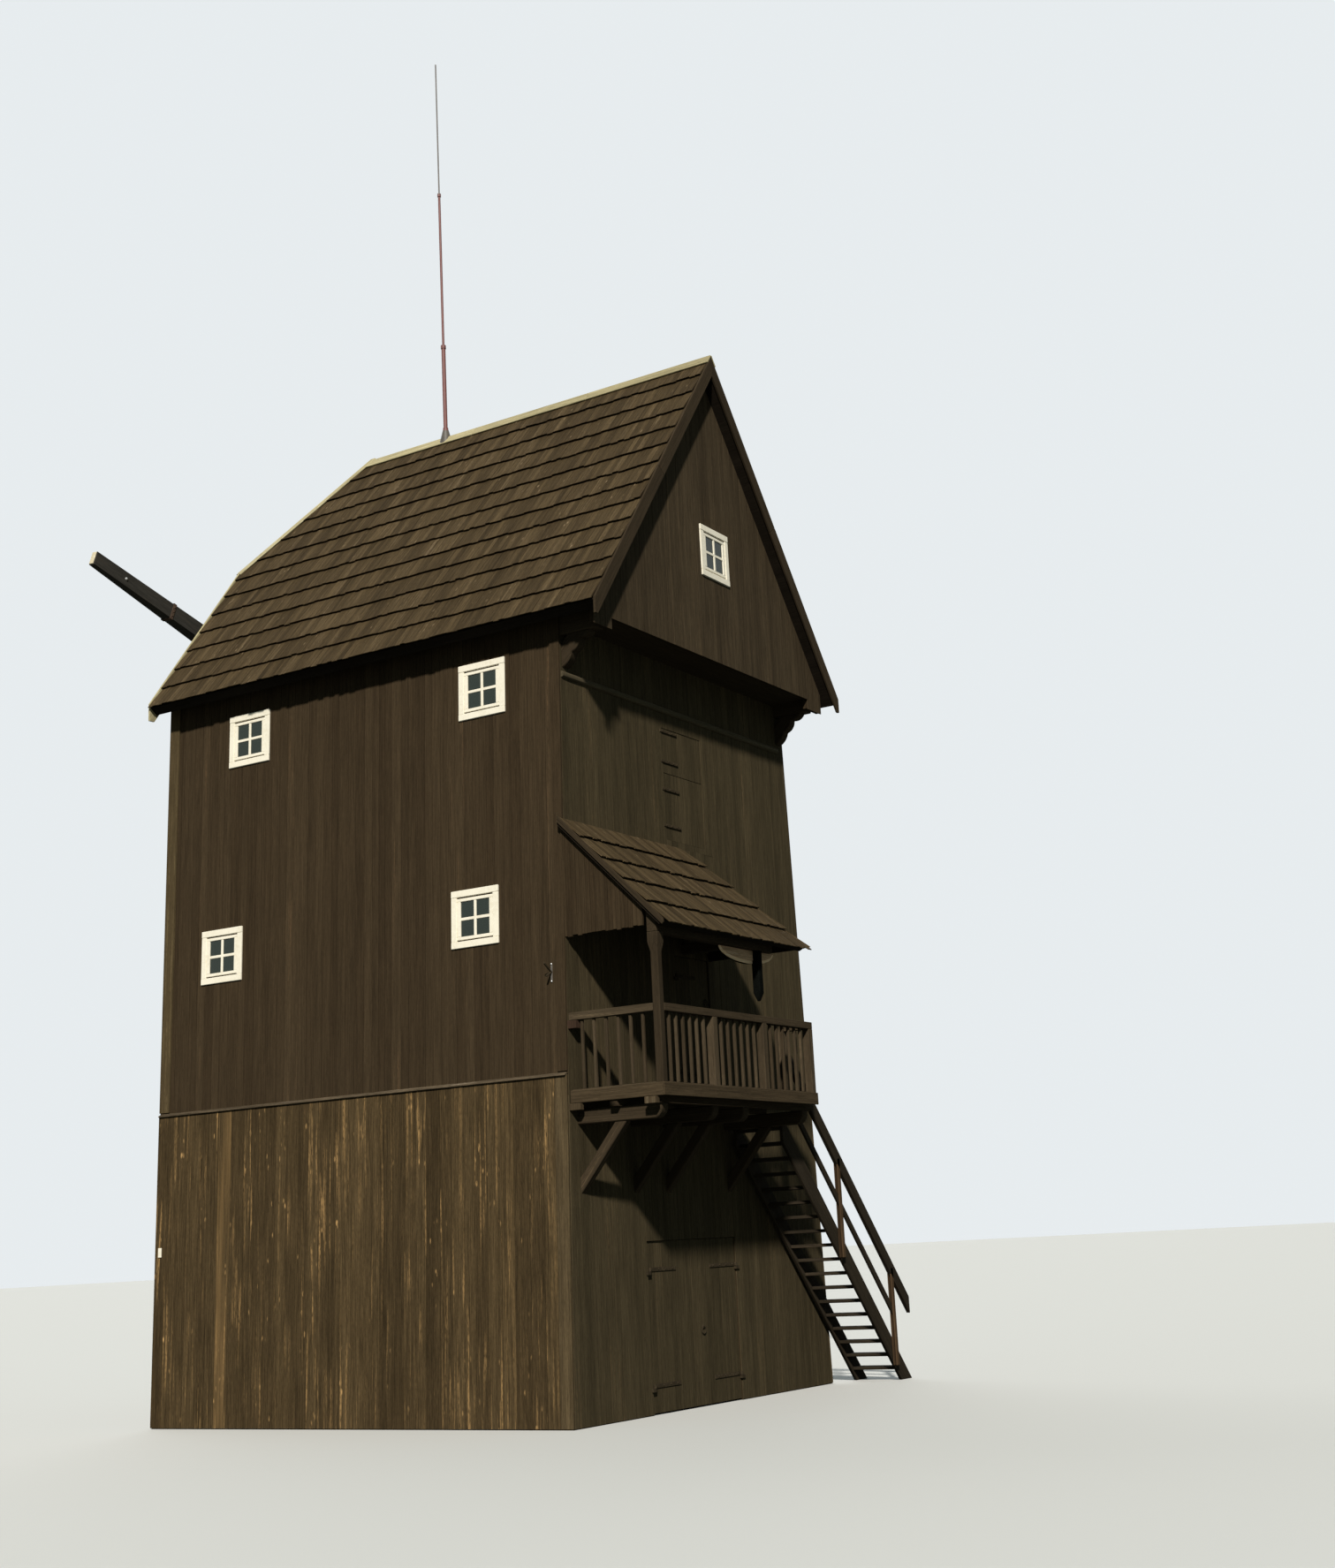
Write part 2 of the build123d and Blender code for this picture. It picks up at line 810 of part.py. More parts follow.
left_pin_x = door_left_x + pin_inset
right_pin_x = door_right_x - pin_inset
porch_pin_x = porch_door_left_x + pin_inset
porch_strap_zs = [entrance_floor_top + height for height in porch_strap_heights]
leaf_top = door_top - leaf_gap
keep(door_leaf(door_left_x + leaf_gap, door_seam_x - leaf_gap / 2, leaf_lift, leaf_top), "ground_door_left")
keep(door_leaf(door_seam_x + leaf_gap / 2, door_right_x - leaf_gap, leaf_lift, leaf_top), "ground_door_right")
keep(straps(left_pin_x, 1, ground_strap_heights, ground_strap_length), "ground_door_left_straps")
keep(straps(right_pin_x, -1, ground_strap_heights, ground_strap_length), "ground_door_right_straps")
porch_leaf = door_leaf(
    porch_door_left_x + leaf_gap,
    porch_door_right_x - leaf_gap,
    entrance_floor_top + porch_leaf_lift,
    porch_door_top - leaf_gap,
)
keep(porch_leaf, "porch_door")
keep(straps(porch_pin_x, 1, porch_strap_zs, porch_strap_length), "porch_door_straps")
with BuildPart() as door_pintles:
    add(pintles(left_pin_x, 1, ground_strap_heights).part)
    add(pintles(right_pin_x, -1, ground_strap_heights).part)
    add(pintles(porch_pin_x, 1, porch_strap_zs).part)
keep(door_pintles, "door_pintles")

with BuildPart() as hatch_leaves:
    for z_low, z_high in ((hatch_bottom, hatch_split - hatch_split_gap), (hatch_split, hatch_top)):
        with Locations((hatch_middle_x, -body_half_length, z_low)):
            Box(
                hatch_width,
                leaf_thickness,
                z_high - z_low,
                align=(Align.CENTER, Align.MIN, Align.MIN),
            )
keep(hatch_leaves, "hatch_leaves")
with BuildPart() as hatch_straps:
    for height in hatch_strap_heights:
        with Locations((hatch_left_x - hatch_strap_overlap, wall_face_y, hatch_bottom + height)):
            Box(
                hatch_strap_length,
                strap_thickness,
                strap_height,
                align=(Align.MIN, Align.MAX, Align.CENTER),
            )
keep(hatch_straps, "hatch_straps")

# Balcony: cantilever beams, struts, joists and boards
joist_top = entrance_floor_top - floor_board_thickness
beam_top = joist_top - joist_height
beam_bottom = beam_top - balcony_beam_height
beam_end_y = balcony_front_y + beam_setback
nose_lip = (beam_end_y, beam_top - beam_nose_lip)
nose_end = (beam_end_y + beam_nose_length, beam_bottom)
with BuildPart() as balcony_beams:
    for x in balcony_beam_xs:
        with BuildSketch(Plane.YZ.offset(x - balcony_beam_width / 2)):
            with BuildLine():
                Polyline(
                    nose_end,
                    (wall_face_y, beam_bottom),
                    (wall_face_y, beam_top),
                    (beam_end_y, beam_top),
                    nose_lip,
                )
                RadiusArc(nose_lip, nose_end, -beam_nose_radius)
            make_face()
        extrude(amount=balcony_beam_width)
keep(balcony_beams, "balcony_beams")

strut_foot_z = entrance_floor_top - strut_foot_drop
strut_head_y = wall_face_y - strut_head_reach
strut_rise = beam_bottom - strut_foot_z
strut_cut = strut_depth * hypot(strut_rise, strut_head_reach) / strut_head_reach
strut_head_cut = strut_depth * hypot(strut_rise, strut_head_reach) / strut_rise
with BuildPart() as balcony_struts:
    for x in balcony_beam_xs:
        with BuildSketch(Plane.YZ.offset(x - strut_width / 2)):
            with BuildLine():
                Polyline(
                    (wall_face_y, strut_foot_z),
                    (wall_face_y, strut_foot_z + strut_cut),
                    (strut_head_y + strut_head_cut, beam_bottom),
                    (strut_head_y, beam_bottom),
                    close=True,
                )
            make_face()
        extrude(amount=strut_width)
keep(balcony_struts, "balcony_struts")

inner_joist_y = wall_face_y - joist_width / 2
outer_joist_y = beam_end_y + joist_width / 2
middle_joist_y = (inner_joist_y + outer_joist_y) / 2
joist_left_x = balcony_left_x - joist_left_overhang
joist_ends = [
    (inner_joist_y, floor_right_x),
    (middle_joist_y, floor_right_x),
    (outer_joist_y, balcony_right_x),
]
with BuildPart() as balcony_joists:
    for y, right_x in joist_ends:
        with Locations((joist_left_x, y, beam_top)):
            Box(
                right_x - joist_left_x,
                joist_width,
                joist_height,
                align=(Align.MIN, Align.CENTER, Align.MIN),
            )
keep(balcony_joists, "balcony_joists")

strip_edge_y = stair_outer_y - stair_gap
with BuildPart() as balcony_floor:
    with BuildSketch(Plane.XY.offset(joist_top)):
        with BuildLine():
            Polyline(
                (balcony_left_x, wall_face_y),
                (balcony_left_x, balcony_front_y),
                (balcony_right_x, balcony_front_y),
                (balcony_right_x, strip_edge_y),
                (floor_right_x, strip_edge_y),
                (floor_right_x, wall_face_y),
                close=True,
            )
        make_face()
    extrude(amount=floor_board_thickness)
keep(balcony_floor, "balcony_floor")

# Railings: each panel is one frame of posts, rails and balusters
rail_bottom_z = rail_top_z - rail_depth
fascia_top_z = entrance_floor_top + fascia_height
rail_y = balcony_front_y + post_size / 2
rail_x = balcony_left_x + post_size / 2
end_rail_x = balcony_right_x - post_size / 2
corner_post_inner_x = balcony_left_x + post_size
front_posts = post_xs + [end_rail_x]


def baluster_places(start, end):
    """Evenly spaced centres of the balusters between two posts."""
    pitch = (end - start) / (balusters_per_bay + 1)
    return [start + pitch * (step + 1) for step in range(balusters_per_bay)]


with BuildPart() as front_railing:
    middle_x = (corner_post_inner_x + balcony_right_x) / 2
    panel_length = balcony_right_x - corner_post_inner_x
    with Locations((middle_x, rail_y, rail_bottom_z)):
        Box(panel_length, rail_width, rail_depth, align=(Align.CENTER, Align.CENTER, Align.MIN))
    with Locations((middle_x, rail_y, entrance_floor_top)):
        Box(
            panel_length,
            fascia_thickness,
            fascia_top_z - entrance_floor_top,
            align=(Align.CENTER, Align.CENTER, Align.MIN),
        )
    for x in front_posts:
        with Locations((x, rail_y, entrance_floor_top)):
            Box(
                post_size,
                post_size,
                rail_bottom_z - entrance_floor_top,
                align=(Align.CENTER, Align.CENTER, Align.MIN),
            )
    bay_starts = [balcony_left_x + post_size / 2] + post_xs
    for start, end in zip(bay_starts, front_posts):
        for x in baluster_places(start + post_size / 2, end - post_size / 2):
            with Locations((x, rail_y, fascia_top_z)):
                Box(
                    baluster_size,
                    baluster_size,
                    rail_bottom_z - fascia_top_z,
                    align=(Align.CENTER, Align.CENTER, Align.MIN),
                )
keep(front_railing, "balcony_front_railing")

side_rail_length = wall_face_y - (balcony_front_y + post_size)
side_rail_middle = wall_face_y - side_rail_length / 2
with BuildPart() as left_railing:
    with Locations((rail_x, side_rail_middle, rail_bottom_z)):
        Box(rail_width, side_rail_length, rail_depth, align=(Align.CENTER, Align.CENTER, Align.MIN))
    with Locations((rail_x, side_rail_middle, entrance_floor_top)):
        Box(
            fascia_thickness,
            side_rail_length,
            fascia_top_z - entrance_floor_top,
            align=(Align.CENTER, Align.CENTER, Align.MIN),
        )
    for y in baluster_places(balcony_front_y + post_size, wall_face_y):
        with Locations((rail_x, y, fascia_top_z)):
            Box(
                baluster_size,
                baluster_size,
                rail_bottom_z - fascia_top_z,
                align=(Align.CENTER, Align.CENTER, Align.MIN),
            )
keep(left_railing, "balcony_left_railing")

newel_y = strip_edge_y - newel_size / 2
end_rail_start = balcony_front_y + post_size
end_rail_length = newel_y - newel_size / 2 - end_rail_start
with BuildPart() as end_railing:
    with Locations((end_rail_x, newel_y, entrance_floor_top)):
        Box(
            newel_size,
            newel_size,
            rail_top_z - entrance_floor_top,
            align=(Align.CENTER, Align.CENTER, Align.MIN),
        )
    with Locations((end_rail_x, end_rail_start, rail_bottom_z)):
        Box(rail_width, end_rail_length, rail_depth, align=(Align.CENTER, Align.MIN, Align.MIN))
    with Locations((end_rail_x, end_rail_start, entrance_floor_top)):
        Box(
            fascia_thickness,
            end_rail_length,
            fascia_top_z - entrance_floor_top,
            align=(Align.CENTER, Align.MIN, Align.MIN),
        )
    with Locations((end_rail_x, end_rail_start + end_rail_length / 2, fascia_top_z)):
        Box(
            baluster_size,
            baluster_size,
            rail_bottom_z - fascia_top_z,
            align=(Align.CENTER, Align.CENTER, Align.MIN),
        )
keep(end_railing, "balcony_end_railing")

# Porch roof over the balcony, hipped at its right end
porch_angle = atan((porch_top_z - porch_eave_z) / (wall_face_y - porch_eave_y))
side_angle = atan((porch_top_z - porch_eave_z) / (porch_eave_right_x - porch_top_right_x))
porch_apex = Vector(porch_top_right_x, wall_face_y, porch_top_z)
porch_front_normal = Vector(0, -sin(porch_angle), cos(porch_angle))
porch_side_normal = Vector(sin(side_angle), 0, cos(side_angle))
porch_mitre = Plane(origin=porch_apex, z_dir=porch_front_normal - porch_side_normal)
porch_plumb = porch_roof_thickness / cos(porch_angle)
side_plumb = porch_roof_thickness / cos(side_angle)


def porch_underside(y):
    """Height of the underside of the porch's front slope at Y."""
    return porch_top_z - porch_plumb - (wall_face_y - y) * tan(porch_angle)


with BuildPart() as porch_roof_front:
    with BuildSketch(Plane.YZ.offset(porch_left_x)):
        with BuildLine():
            Polyline(
                (wall_face_y, porch_top_z),
                (porch_eave_y, porch_eave_z),
                (
                    porch_eave_y + porch_roof_thickness * sin(porch_angle),
                    porch_eave_z - porch_roof_thickness * cos(porch_angle),
                ),
                (wall_face_y, porch_underside(wall_face_y)),
                close=True,
            )
        make_face()
    extrude(amount=porch_eave_right_x - porch_left_x)
    split(bisect_by=porch_mitre, keep=Keep.TOP)
keep(porch_roof_front, "porch_roof_front")

with BuildPart() as porch_roof_side:
    with BuildSketch(plane_at_y(wall_face_y)):
        with BuildLine():
            Polyline(
                (porch_top_right_x, porch_top_z),
                (porch_eave_right_x, porch_eave_z),
                (
                    porch_eave_right_x - porch_roof_thickness * sin(side_angle),
                    porch_eave_z - porch_roof_thickness * cos(side_angle),
                ),
                (porch_top_right_x, porch_top_z - side_plumb),
                close=True,
            )
        make_face()
    extrude(amount=wall_face_y - porch_eave_y)
    split(bisect_by=porch_mitre, keep=Keep.BOTTOM)
keep(porch_roof_side, "porch_roof_side")

cheek_front_y = balcony_front_y + cheek_setback
with BuildPart() as porch_cheek:
    with BuildSketch(Plane.YZ.offset(balcony_left_x)):
        with BuildLine():
            Polyline(
                (wall_face_y, porch_eave_z),
                (wall_face_y, porch_underside(wall_face_y)),
                (cheek_front_y, porch_underside(cheek_front_y)),
                (cheek_front_y, porch_eave_z),
                close=True,
            )
        make_face()
    extrude(amount=cheek_thickness)
keep(porch_cheek, "porch_cheek")

# Front plate under the eave, and the tie from its right end back to the wall over the door
plate_inner_y = balcony_front_y + plate_width
with BuildPart() as porch_plates:
    with BuildSketch(Plane.YZ.offset(balcony_left_x)):
        with BuildLine():
            Polyline(
                (balcony_front_y, plate_bottom_z),
                (plate_inner_y, plate_bottom_z),
                (plate_inner_y, porch_underside(plate_inner_y)),
                (balcony_front_y, porch_underside(balcony_front_y)),
                close=True,
            )
        make_face()
    extrude(amount=plate_right_x - balcony_left_x)
    with Locations((plate_right_x, wall_face_y, porch_door_top + tie_over_door)):
        Box(plate_width, wall_face_y - plate_inner_y, tie_depth, align=(Align.MAX, Align.MAX, Align.MIN))
keep(porch_plates, "porch_plates")

with BuildPart() as porch_post:
    with Locations((rail_x, rail_y, entrance_floor_top)):
        Box(
            post_size,
            post_size,
            plate_bottom_z - entrance_floor_top,
            align=(Align.CENTER, Align.CENTER, Align.MIN),
        )
    head_bottom = plate_bottom_z - post_head_height
    with BuildSketch(Plane.XY.offset(plate_bottom_z - post_head_height / 2)):
        with Locations((rail_x, rail_y)):
            Rectangle(post_head_size, post_head_size)
    extrude(amount=post_head_height / 2)
    with BuildSketch(Plane.XY.offset(head_bottom)):
        with Locations((rail_x, rail_y)):
            Rectangle(post_size, post_size)
    with BuildSketch(Plane.XY.offset(plate_bottom_z - post_head_height / 2)):
        with Locations((rail_x, rail_y)):
            Rectangle(post_head_size, post_head_size)
    loft()
keep(porch_post, "porch_post")

# Hanging post with its pointed end, and the curved bolster beside it
bolster_bottom = plate_bottom_z - bolster_depth
bolster_middle = (bolster_left_x + bolster_right_x) / 2
with BuildPart() as porch_pendant:
    with Locations((pendant_x, rail_y, pendant_bottom_z + pendant_point_height)):
        Box(
            post_size,
            post_size,
            pendant_length - pendant_point_height,
            align=(Align.CENTER, Align.CENTER, Align.MIN),
        )
    with BuildSketch(Plane.XY.offset(pendant_bottom_z + pendant_point_height)):
        with Locations((pendant_x, rail_y)):
            Rectangle(post_size, post_size)
    with BuildSketch(Plane.XY.offset(pendant_bottom_z)):
        with Locations((pendant_x, rail_y)):
            Rectangle(pendant_point_size, pendant_point_size)
    loft()
    with BuildSketch(plane_at_y(rail_y + post_size / 2 + bolster_thickness)):
        with BuildLine():
            Line((bolster_right_x, plate_bottom_z), (bolster_left_x, plate_bottom_z))
            ThreePointArc(
                (bolster_left_x, plate_bottom_z),
                (bolster_middle, bolster_bottom),
                (bolster_right_x, plate_bottom_z),
            )
        make_face()
    extrude(amount=bolster_thickness)
keep(porch_pendant, "porch_pendant")

# Open stair along the tail wall, from the balcony down past the corner
rise = entrance_floor_top / stair_riser_count


def stair_line(x):
    """Height of the stringers' upper edge at X."""
    return entrance_floor_top - stringer_drop - (x - stair_top_x) * stair_slope


foot_upper_x = stair_top_x + (entrance_floor_top - stringer_drop) / stair_slope
foot_lower_x = foot_upper_x - stringer_depth / stair_slope
with BuildPart() as stair_stringers:
    for y in (stair_inner_y, stair_outer_y + stringer_thickness):
        with BuildSketch(plane_at_y(y)):
            with BuildLine():
                Polyline(
                    (stair_top_x, stair_line(stair_top_x)),
                    (foot_upper_x, 0),
                    (foot_lower_x, 0),
                    (stair_top_x, stair_line(stair_top_x) - stringer_depth),
                    close=True,
                )
            make_face()
        extrude(amount=stringer_thickness)
keep(stair_stringers, "stair_stringers")

# The last balcony beam is the first step down, the treads follow below it
tread_outer_y = stair_outer_y + stringer_thickness
tread_inner_y = stair_inner_y - stringer_thickness
with BuildPart() as stair_treads:
    for step in range(2, stair_riser_count):
        top_z = entrance_floor_top - step * rise
        nose_x = stair_top_x + (stair_line(stair_top_x) - top_z) / stair_slope - tread_setback
        back_x = max(nose_x - tread_width, stair_top_x)
        with Locations((back_x, tread_outer_y, top_z)):
            Box(
                nose_x - back_x,
                tread_inner_y - tread_outer_y,
                tread_thickness,
                align=(Align.MIN, Align.MIN, Align.MAX),
            )
keep(stair_treads, "stair_treads")

handrail_drop = handrail_depth * hypot(1, stair_slope)
mid_rail_cut = mid_rail_depth * hypot(1, stair_slope)


def handrail_line(x):
    """Height of the handrail's upper edge at X."""
    return stair_line(x) + handrail_height


handrail_end_x = balcony_right_x + handrail_run
with BuildPart() as stair_handrail:
    with BuildSketch(plane_at_y(strip_edge_y)):
        with BuildLine():
            Polyline(
                (balcony_right_x, handrail_line(balcony_right_x)),
                (handrail_end_x, handrail_line(handrail_end_x)),
                (handrail_end_x, handrail_line(handrail_end_x) - handrail_drop),
                (balcony_right_x, handrail_line(balcony_right_x) - handrail_drop),
                close=True,
            )
        make_face()
    extrude(amount=handrail_width)
    mid_rail_end_x = stair_post_xs[-1]
    with BuildSketch(plane_at_y(strip_edge_y)):
        with BuildLine():
            Polyline(
                (balcony_right_x, handrail_line(balcony_right_x) - mid_rail_drop),
                (mid_rail_end_x, handrail_line(mid_rail_end_x) - mid_rail_drop),
                (mid_rail_end_x, handrail_line(mid_rail_end_x) - mid_rail_drop - mid_rail_cut),
                (balcony_right_x, handrail_line(balcony_right_x) - mid_rail_drop - mid_rail_cut),
                close=True,
            )
        make_face()
    extrude(amount=mid_rail_width)
    for x in stair_post_xs:
        post_foot = max(stair_line(x) - stringer_depth, 0)
        with Locations((x, stair_outer_y, post_foot)):
            Box(
                stair_post_width,
                handrail_width + stair_gap,
                handrail_line(x) - handrail_drop / 2 - post_foot,
                align=(Align.CENTER, Align.MAX, Align.MIN),
            )
keep(stair_handrail, "stair_handrail")

# Windshaft with its poll, and the one stock through it
hub_plane = Plane(origin=hub, x_dir=(1, 0, 0), z_dir=shaft_axis)
with BuildPart() as windshaft:
    with BuildSketch(hub_plane.offset(-shaft_tail)):
        Circle(shaft_radius)
    extrude(amount=shaft_tail + shaft_nose - poll_length / 2)
    with BuildSketch(hub_plane.offset(shaft_nose - poll_length)):
        Rectangle(poll_size, poll_size)
    extrude(amount=poll_length)
    with BuildSketch(hub_plane.offset(-shaft_tail - gudgeon_length)):
        Circle(gudgeon_radius)
    extrude(amount=gudgeon_length)
    with BuildSketch(hub_plane.offset(-stock_root_size / 2)):
        Rectangle(2 * stock_root_half, stock_root_size, rotation=stock_angle)
    extrude(amount=stock_root_size, mode=Mode.SUBTRACT)
keep(windshaft, "windshaft")

stock_run = hub_plane.x_dir * cos(radians(stock_angle)) + hub_plane.y_dir * sin(radians(stock_angle))
stock_plane = Plane(origin=hub, x_dir=stock_run, z_dir=shaft_axis)
stock_side_plane = Plane(origin=hub, x_dir=stock_run, z_dir=stock_plane.y_dir)


def stock_outline(tip_size):
    """Corners of a long outline that narrows from the stock's root to both its tips."""
    root, tip = stock_root_size / 2, tip_size / 2
    return [
        (-stock_root_half, -root),
        (stock_root_half, -root),
        (stock_half_length, -tip),
        (stock_half_length, tip),
        (stock_root_half, root),
        (-stock_root_half, root),
        (-stock_half_length, tip),
        (-stock_half_length, -tip),
    ]


with BuildPart() as stock:
    with BuildSketch(stock_plane.offset(-stock_root_size / 2)):
        with BuildLine():
            Polyline(*stock_outline(stock_tip_size), close=True)
        make_face()
    extrude(amount=stock_root_size)
    with BuildSketch(stock_side_plane):
        with BuildLine():
            Polyline(*stock_outline(stock_tip_thickness), close=True)
        make_face()
    extrude(amount=stock_root_size, both=True, mode=Mode.INTERSECT)
keep(stock, "sail_stock")

# Beams that carry the shaft at its neck and tail
tail_beam_y = (hub - shaft_axis * (shaft_tail + gudgeon_length / 2)).Y
with BuildPart() as shaft_beams:
    with Locations((0, neck_beam_y, hub_z - neck_beam_drop)):
        Box(
            2 * plate_inner,
            neck_beam_width,
            neck_beam_depth,
            align=(Align.CENTER, Align.CENTER, Align.MAX),
        )
    with Locations((0, tail_beam_y, attic_floor_top)):
        Box(
            2 * plate_inner,
            tail_beam_width,
            hub_z - tail_beam_drop - attic_floor_top,
            align=(Align.CENTER, Align.CENTER, Align.MIN),
        )
    add(under_roof.part, mode=Mode.INTERSECT)
    with BuildSketch(hub_plane.offset(-shaft_tail)):
        Circle(shaft_radius + gudgeon_clearance)
    extrude(amount=shaft_tail, mode=Mode.SUBTRACT)
    with BuildSketch(hub_plane.offset(-shaft_tail - gudgeon_length)):
        Circle(gudgeon_radius + gudgeon_clearance)
    extrude(amount=gudgeon_length, mode=Mode.SUBTRACT)
keep(shaft_beams, "shaft_beams")

# Lightning rod on the ridge
cap_base = ridge_height + board_lift - rod_cap_sink
with BuildPart() as rod:
    with BuildSketch(Plane.XY.offset(cap_base)):
        with Locations((0, rod_y)):
            Circle(rod_cap_radius)
    with BuildSketch(Plane.XY.offset(cap_base + rod_cap_sink + rod_cap_height)):
        with Locations((0, rod_y)):
            Circle(rod_cap_top_radius)
    loft()
    lower_z = cap_base + rod_cap_sink
    for joint_height, radius in zip(rod_joint_heights, rod_radii):
        with BuildSketch(Plane.XY.offset(lower_z)):
            with Locations((0, rod_y)):
                Circle(radius)
        extrude(amount=ridge_height + joint_height - lower_z)
        lower_z = ridge_height + joint_height
    with BuildSketch(plane_at_y(rod_y + rod_cap_radius)):
        with BuildLine():
            Polyline(
                (0, ridge_height + board_lift),
                (-eave_half_width, ridge_height + board_lift - eave_half_width * tan(slope_angle)),
                (eave_half_width, ridge_height + board_lift - eave_half_width * tan(slope_angle)),
                close=True,
            )
        make_face()
    extrude(amount=2 * rod_cap_radius, mode=Mode.SUBTRACT)
keep(rod, "lightning_rod")

# Iron hook near the corner of the long wall
hook_y = hook_inset - body_half_length
hook_z = entrance_floor_top + hook_over_floor
hook_top = hook_z + hook_height / 2
hook_foot = hook_z - hook_height / 2
hook_tip_x = -outer_half_width(hook_z) - hook_reach
hook_tip_z = hook_z - hook_tip_drop
with BuildPart() as wall_hook:
    with BuildSketch(plane_at_y(hook_y + hook_thickness / 2)):
        with BuildLine():
            Polyline(
                (-outer_half_width(hook_top), hook_top),
                (hook_tip_x, hook_tip_z),
                (-outer_half_width(hook_foot), hook_foot),
                (-outer_half_width(hook_foot + hook_thickness), hook_foot + hook_thickness),
                (hook_tip_x + 2 * hook_thickness, hook_tip_z),
                (-outer_half_width(hook_top - hook_thickness), hook_top - hook_thickness),
                close=True,
            )
        make_face()
    extrude(amount=hook_thickness)
keep(wall_hook, "wall_hook")
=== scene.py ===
# %% [markdown]
# # A boarded windmill under a shingled roof
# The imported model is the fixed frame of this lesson: walls, floors, roof slabs, beams and doors, each
# in its place. The steps below dress it as the weathered timber building that it is. Boards, shingles,
# window bars, straps and bolts are real shapes, laid on the frame's own faces, so that they sit right
# from any side.

import json
import math
import random

import bmesh
import bpy
import numpy as np
from mathutils import Matrix, Vector


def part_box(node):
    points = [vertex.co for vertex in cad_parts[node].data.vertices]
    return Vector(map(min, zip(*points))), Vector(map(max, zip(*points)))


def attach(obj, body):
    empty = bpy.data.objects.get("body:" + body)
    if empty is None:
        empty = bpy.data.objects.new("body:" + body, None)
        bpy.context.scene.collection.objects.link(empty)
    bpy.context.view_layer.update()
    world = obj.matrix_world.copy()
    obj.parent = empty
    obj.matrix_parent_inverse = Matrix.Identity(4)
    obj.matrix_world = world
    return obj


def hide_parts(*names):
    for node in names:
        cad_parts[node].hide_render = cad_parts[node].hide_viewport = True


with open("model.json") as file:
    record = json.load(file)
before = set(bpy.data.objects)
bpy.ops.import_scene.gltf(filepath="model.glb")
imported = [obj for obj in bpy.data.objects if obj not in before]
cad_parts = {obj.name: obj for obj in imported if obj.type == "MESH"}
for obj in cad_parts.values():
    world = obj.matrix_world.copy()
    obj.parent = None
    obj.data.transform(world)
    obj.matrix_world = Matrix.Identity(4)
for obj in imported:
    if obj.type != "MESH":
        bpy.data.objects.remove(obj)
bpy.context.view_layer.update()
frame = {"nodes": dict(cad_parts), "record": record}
nodes = frame["nodes"]

# %% [markdown]
# ## Main sizes
# Everything follows from a few faces of the frame. The long walls lean inwards a little as they rise,
# so a board on them stands on a leaning face, and the end walls get narrower towards the top.

# %% Read the main sizes from the frame
UP = Vector((0, 0, 1))
sides = ((-1, "left"), (1, "right"))
wall_lean = 0.033
lean = math.atan(wall_lean)
skirt_low, skirt_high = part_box("left_wall_base")
skirt_proud = 0.02
half_width = -skirt_low.x - skirt_proud
tail_y = skirt_low.y
sail_y = skirt_high.y
skirt_top = skirt_high.z
attic_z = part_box("attic_floor")[1].z
entrance_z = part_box("entrance_floor")[1].z
roof_low, roof_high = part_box("roof_left_slope")
eave_x = -roof_low.x
ridge_z = roof_high.z
verge_y = roof_low.y
hip_eave_y = roof_high.y
eave_z = attic_z + 0.04
roof_slope = math.atan((ridge_z - eave_z) / eave_x)
roof_thickness = 0.12
print("body", round(2 * half_width, 3), "x", round(sail_y - tail_y, 3), "ridge", round(ridge_z, 3))


def body_half_width(z):
    """Half the width of the body over its long walls at a height."""
    return half_width - wall_lean * z


def under_roof(x):
    """Height of the underside of the main slopes at X."""
    return ridge_z - roof_thickness / math.cos(roof_slope) - abs(x) * math.tan(roof_slope)


def roof_outward(side):
    """The outward direction of a main slope, side -1 or +1."""
    return Vector((side * math.sin(roof_slope), 0, math.cos(roof_slope)))


def roof_up(side):
    """The direction up a main slope."""
    return Vector((-side * math.cos(roof_slope), 0, math.sin(roof_slope)))


# %% [markdown]
# ## Camera, light and floor
# The camera stands where the photographer stood, low and off the near corner, and looks up. Its turn
# and its focal length, in pixels of a 1511 x 1775 picture, come from lining up the mill's edges with
# the picture. A sun-like lamp gives the light its direction and fairly crisp shadows, a second, very
# soft one fills the far side, and the sky adds a little from everywhere. The floor looks pale but
# throws little light back, so that undersides stay dark.

# %% Camera
picture_height = 1775
focal_pixels = 2299.1
camera_place = Vector((-20.439, -15.223, 1.781))
camera_yaw = 1.02287
camera_pitch = 0.22273
camera_roll = -0.05154
look = Vector((
    math.sin(camera_yaw) * math.cos(camera_pitch),
    math.cos(camera_yaw) * math.cos(camera_pitch),
    math.sin(camera_pitch),
))
level = Vector((math.cos(camera_yaw), -math.sin(camera_yaw), 0))
roll = Matrix.Rotation(camera_roll, 3, -look)
camera_right = roll @ level
camera_up = roll @ level.cross(look)
camera_data = bpy.data.cameras.new("camera")
camera_data.sensor_width = 36
camera_data.lens = focal_pixels * camera_data.sensor_width / picture_height
camera_data.clip_end = 1000
camera = bpy.data.objects.new("camera", camera_data)
bpy.context.scene.collection.objects.link(camera)
turn = Matrix((camera_right, camera_up, -look)).transposed().to_4x4()
camera.matrix_world = Matrix.Translation(camera_place) @ turn
bpy.context.scene.camera = camera
print("camera lens", round(camera_data.lens, 2), "mm")


# %% Lamps
def sun_lamp(name, travel, energy, softness, colour):
    """A lamp that shines along a direction, with the angle in degrees that softens its shadows."""
    data = bpy.data.lights.new(name, "SUN")
    data.energy = energy
    data.color = colour
    data.angle = math.radians(softness)
    lamp = bpy.data.objects.new(name, data)
    lamp.rotation_euler = Vector(travel).to_track_quat("-Z", "Y").to_euler()
    bpy.context.scene.collection.objects.link(lamp)


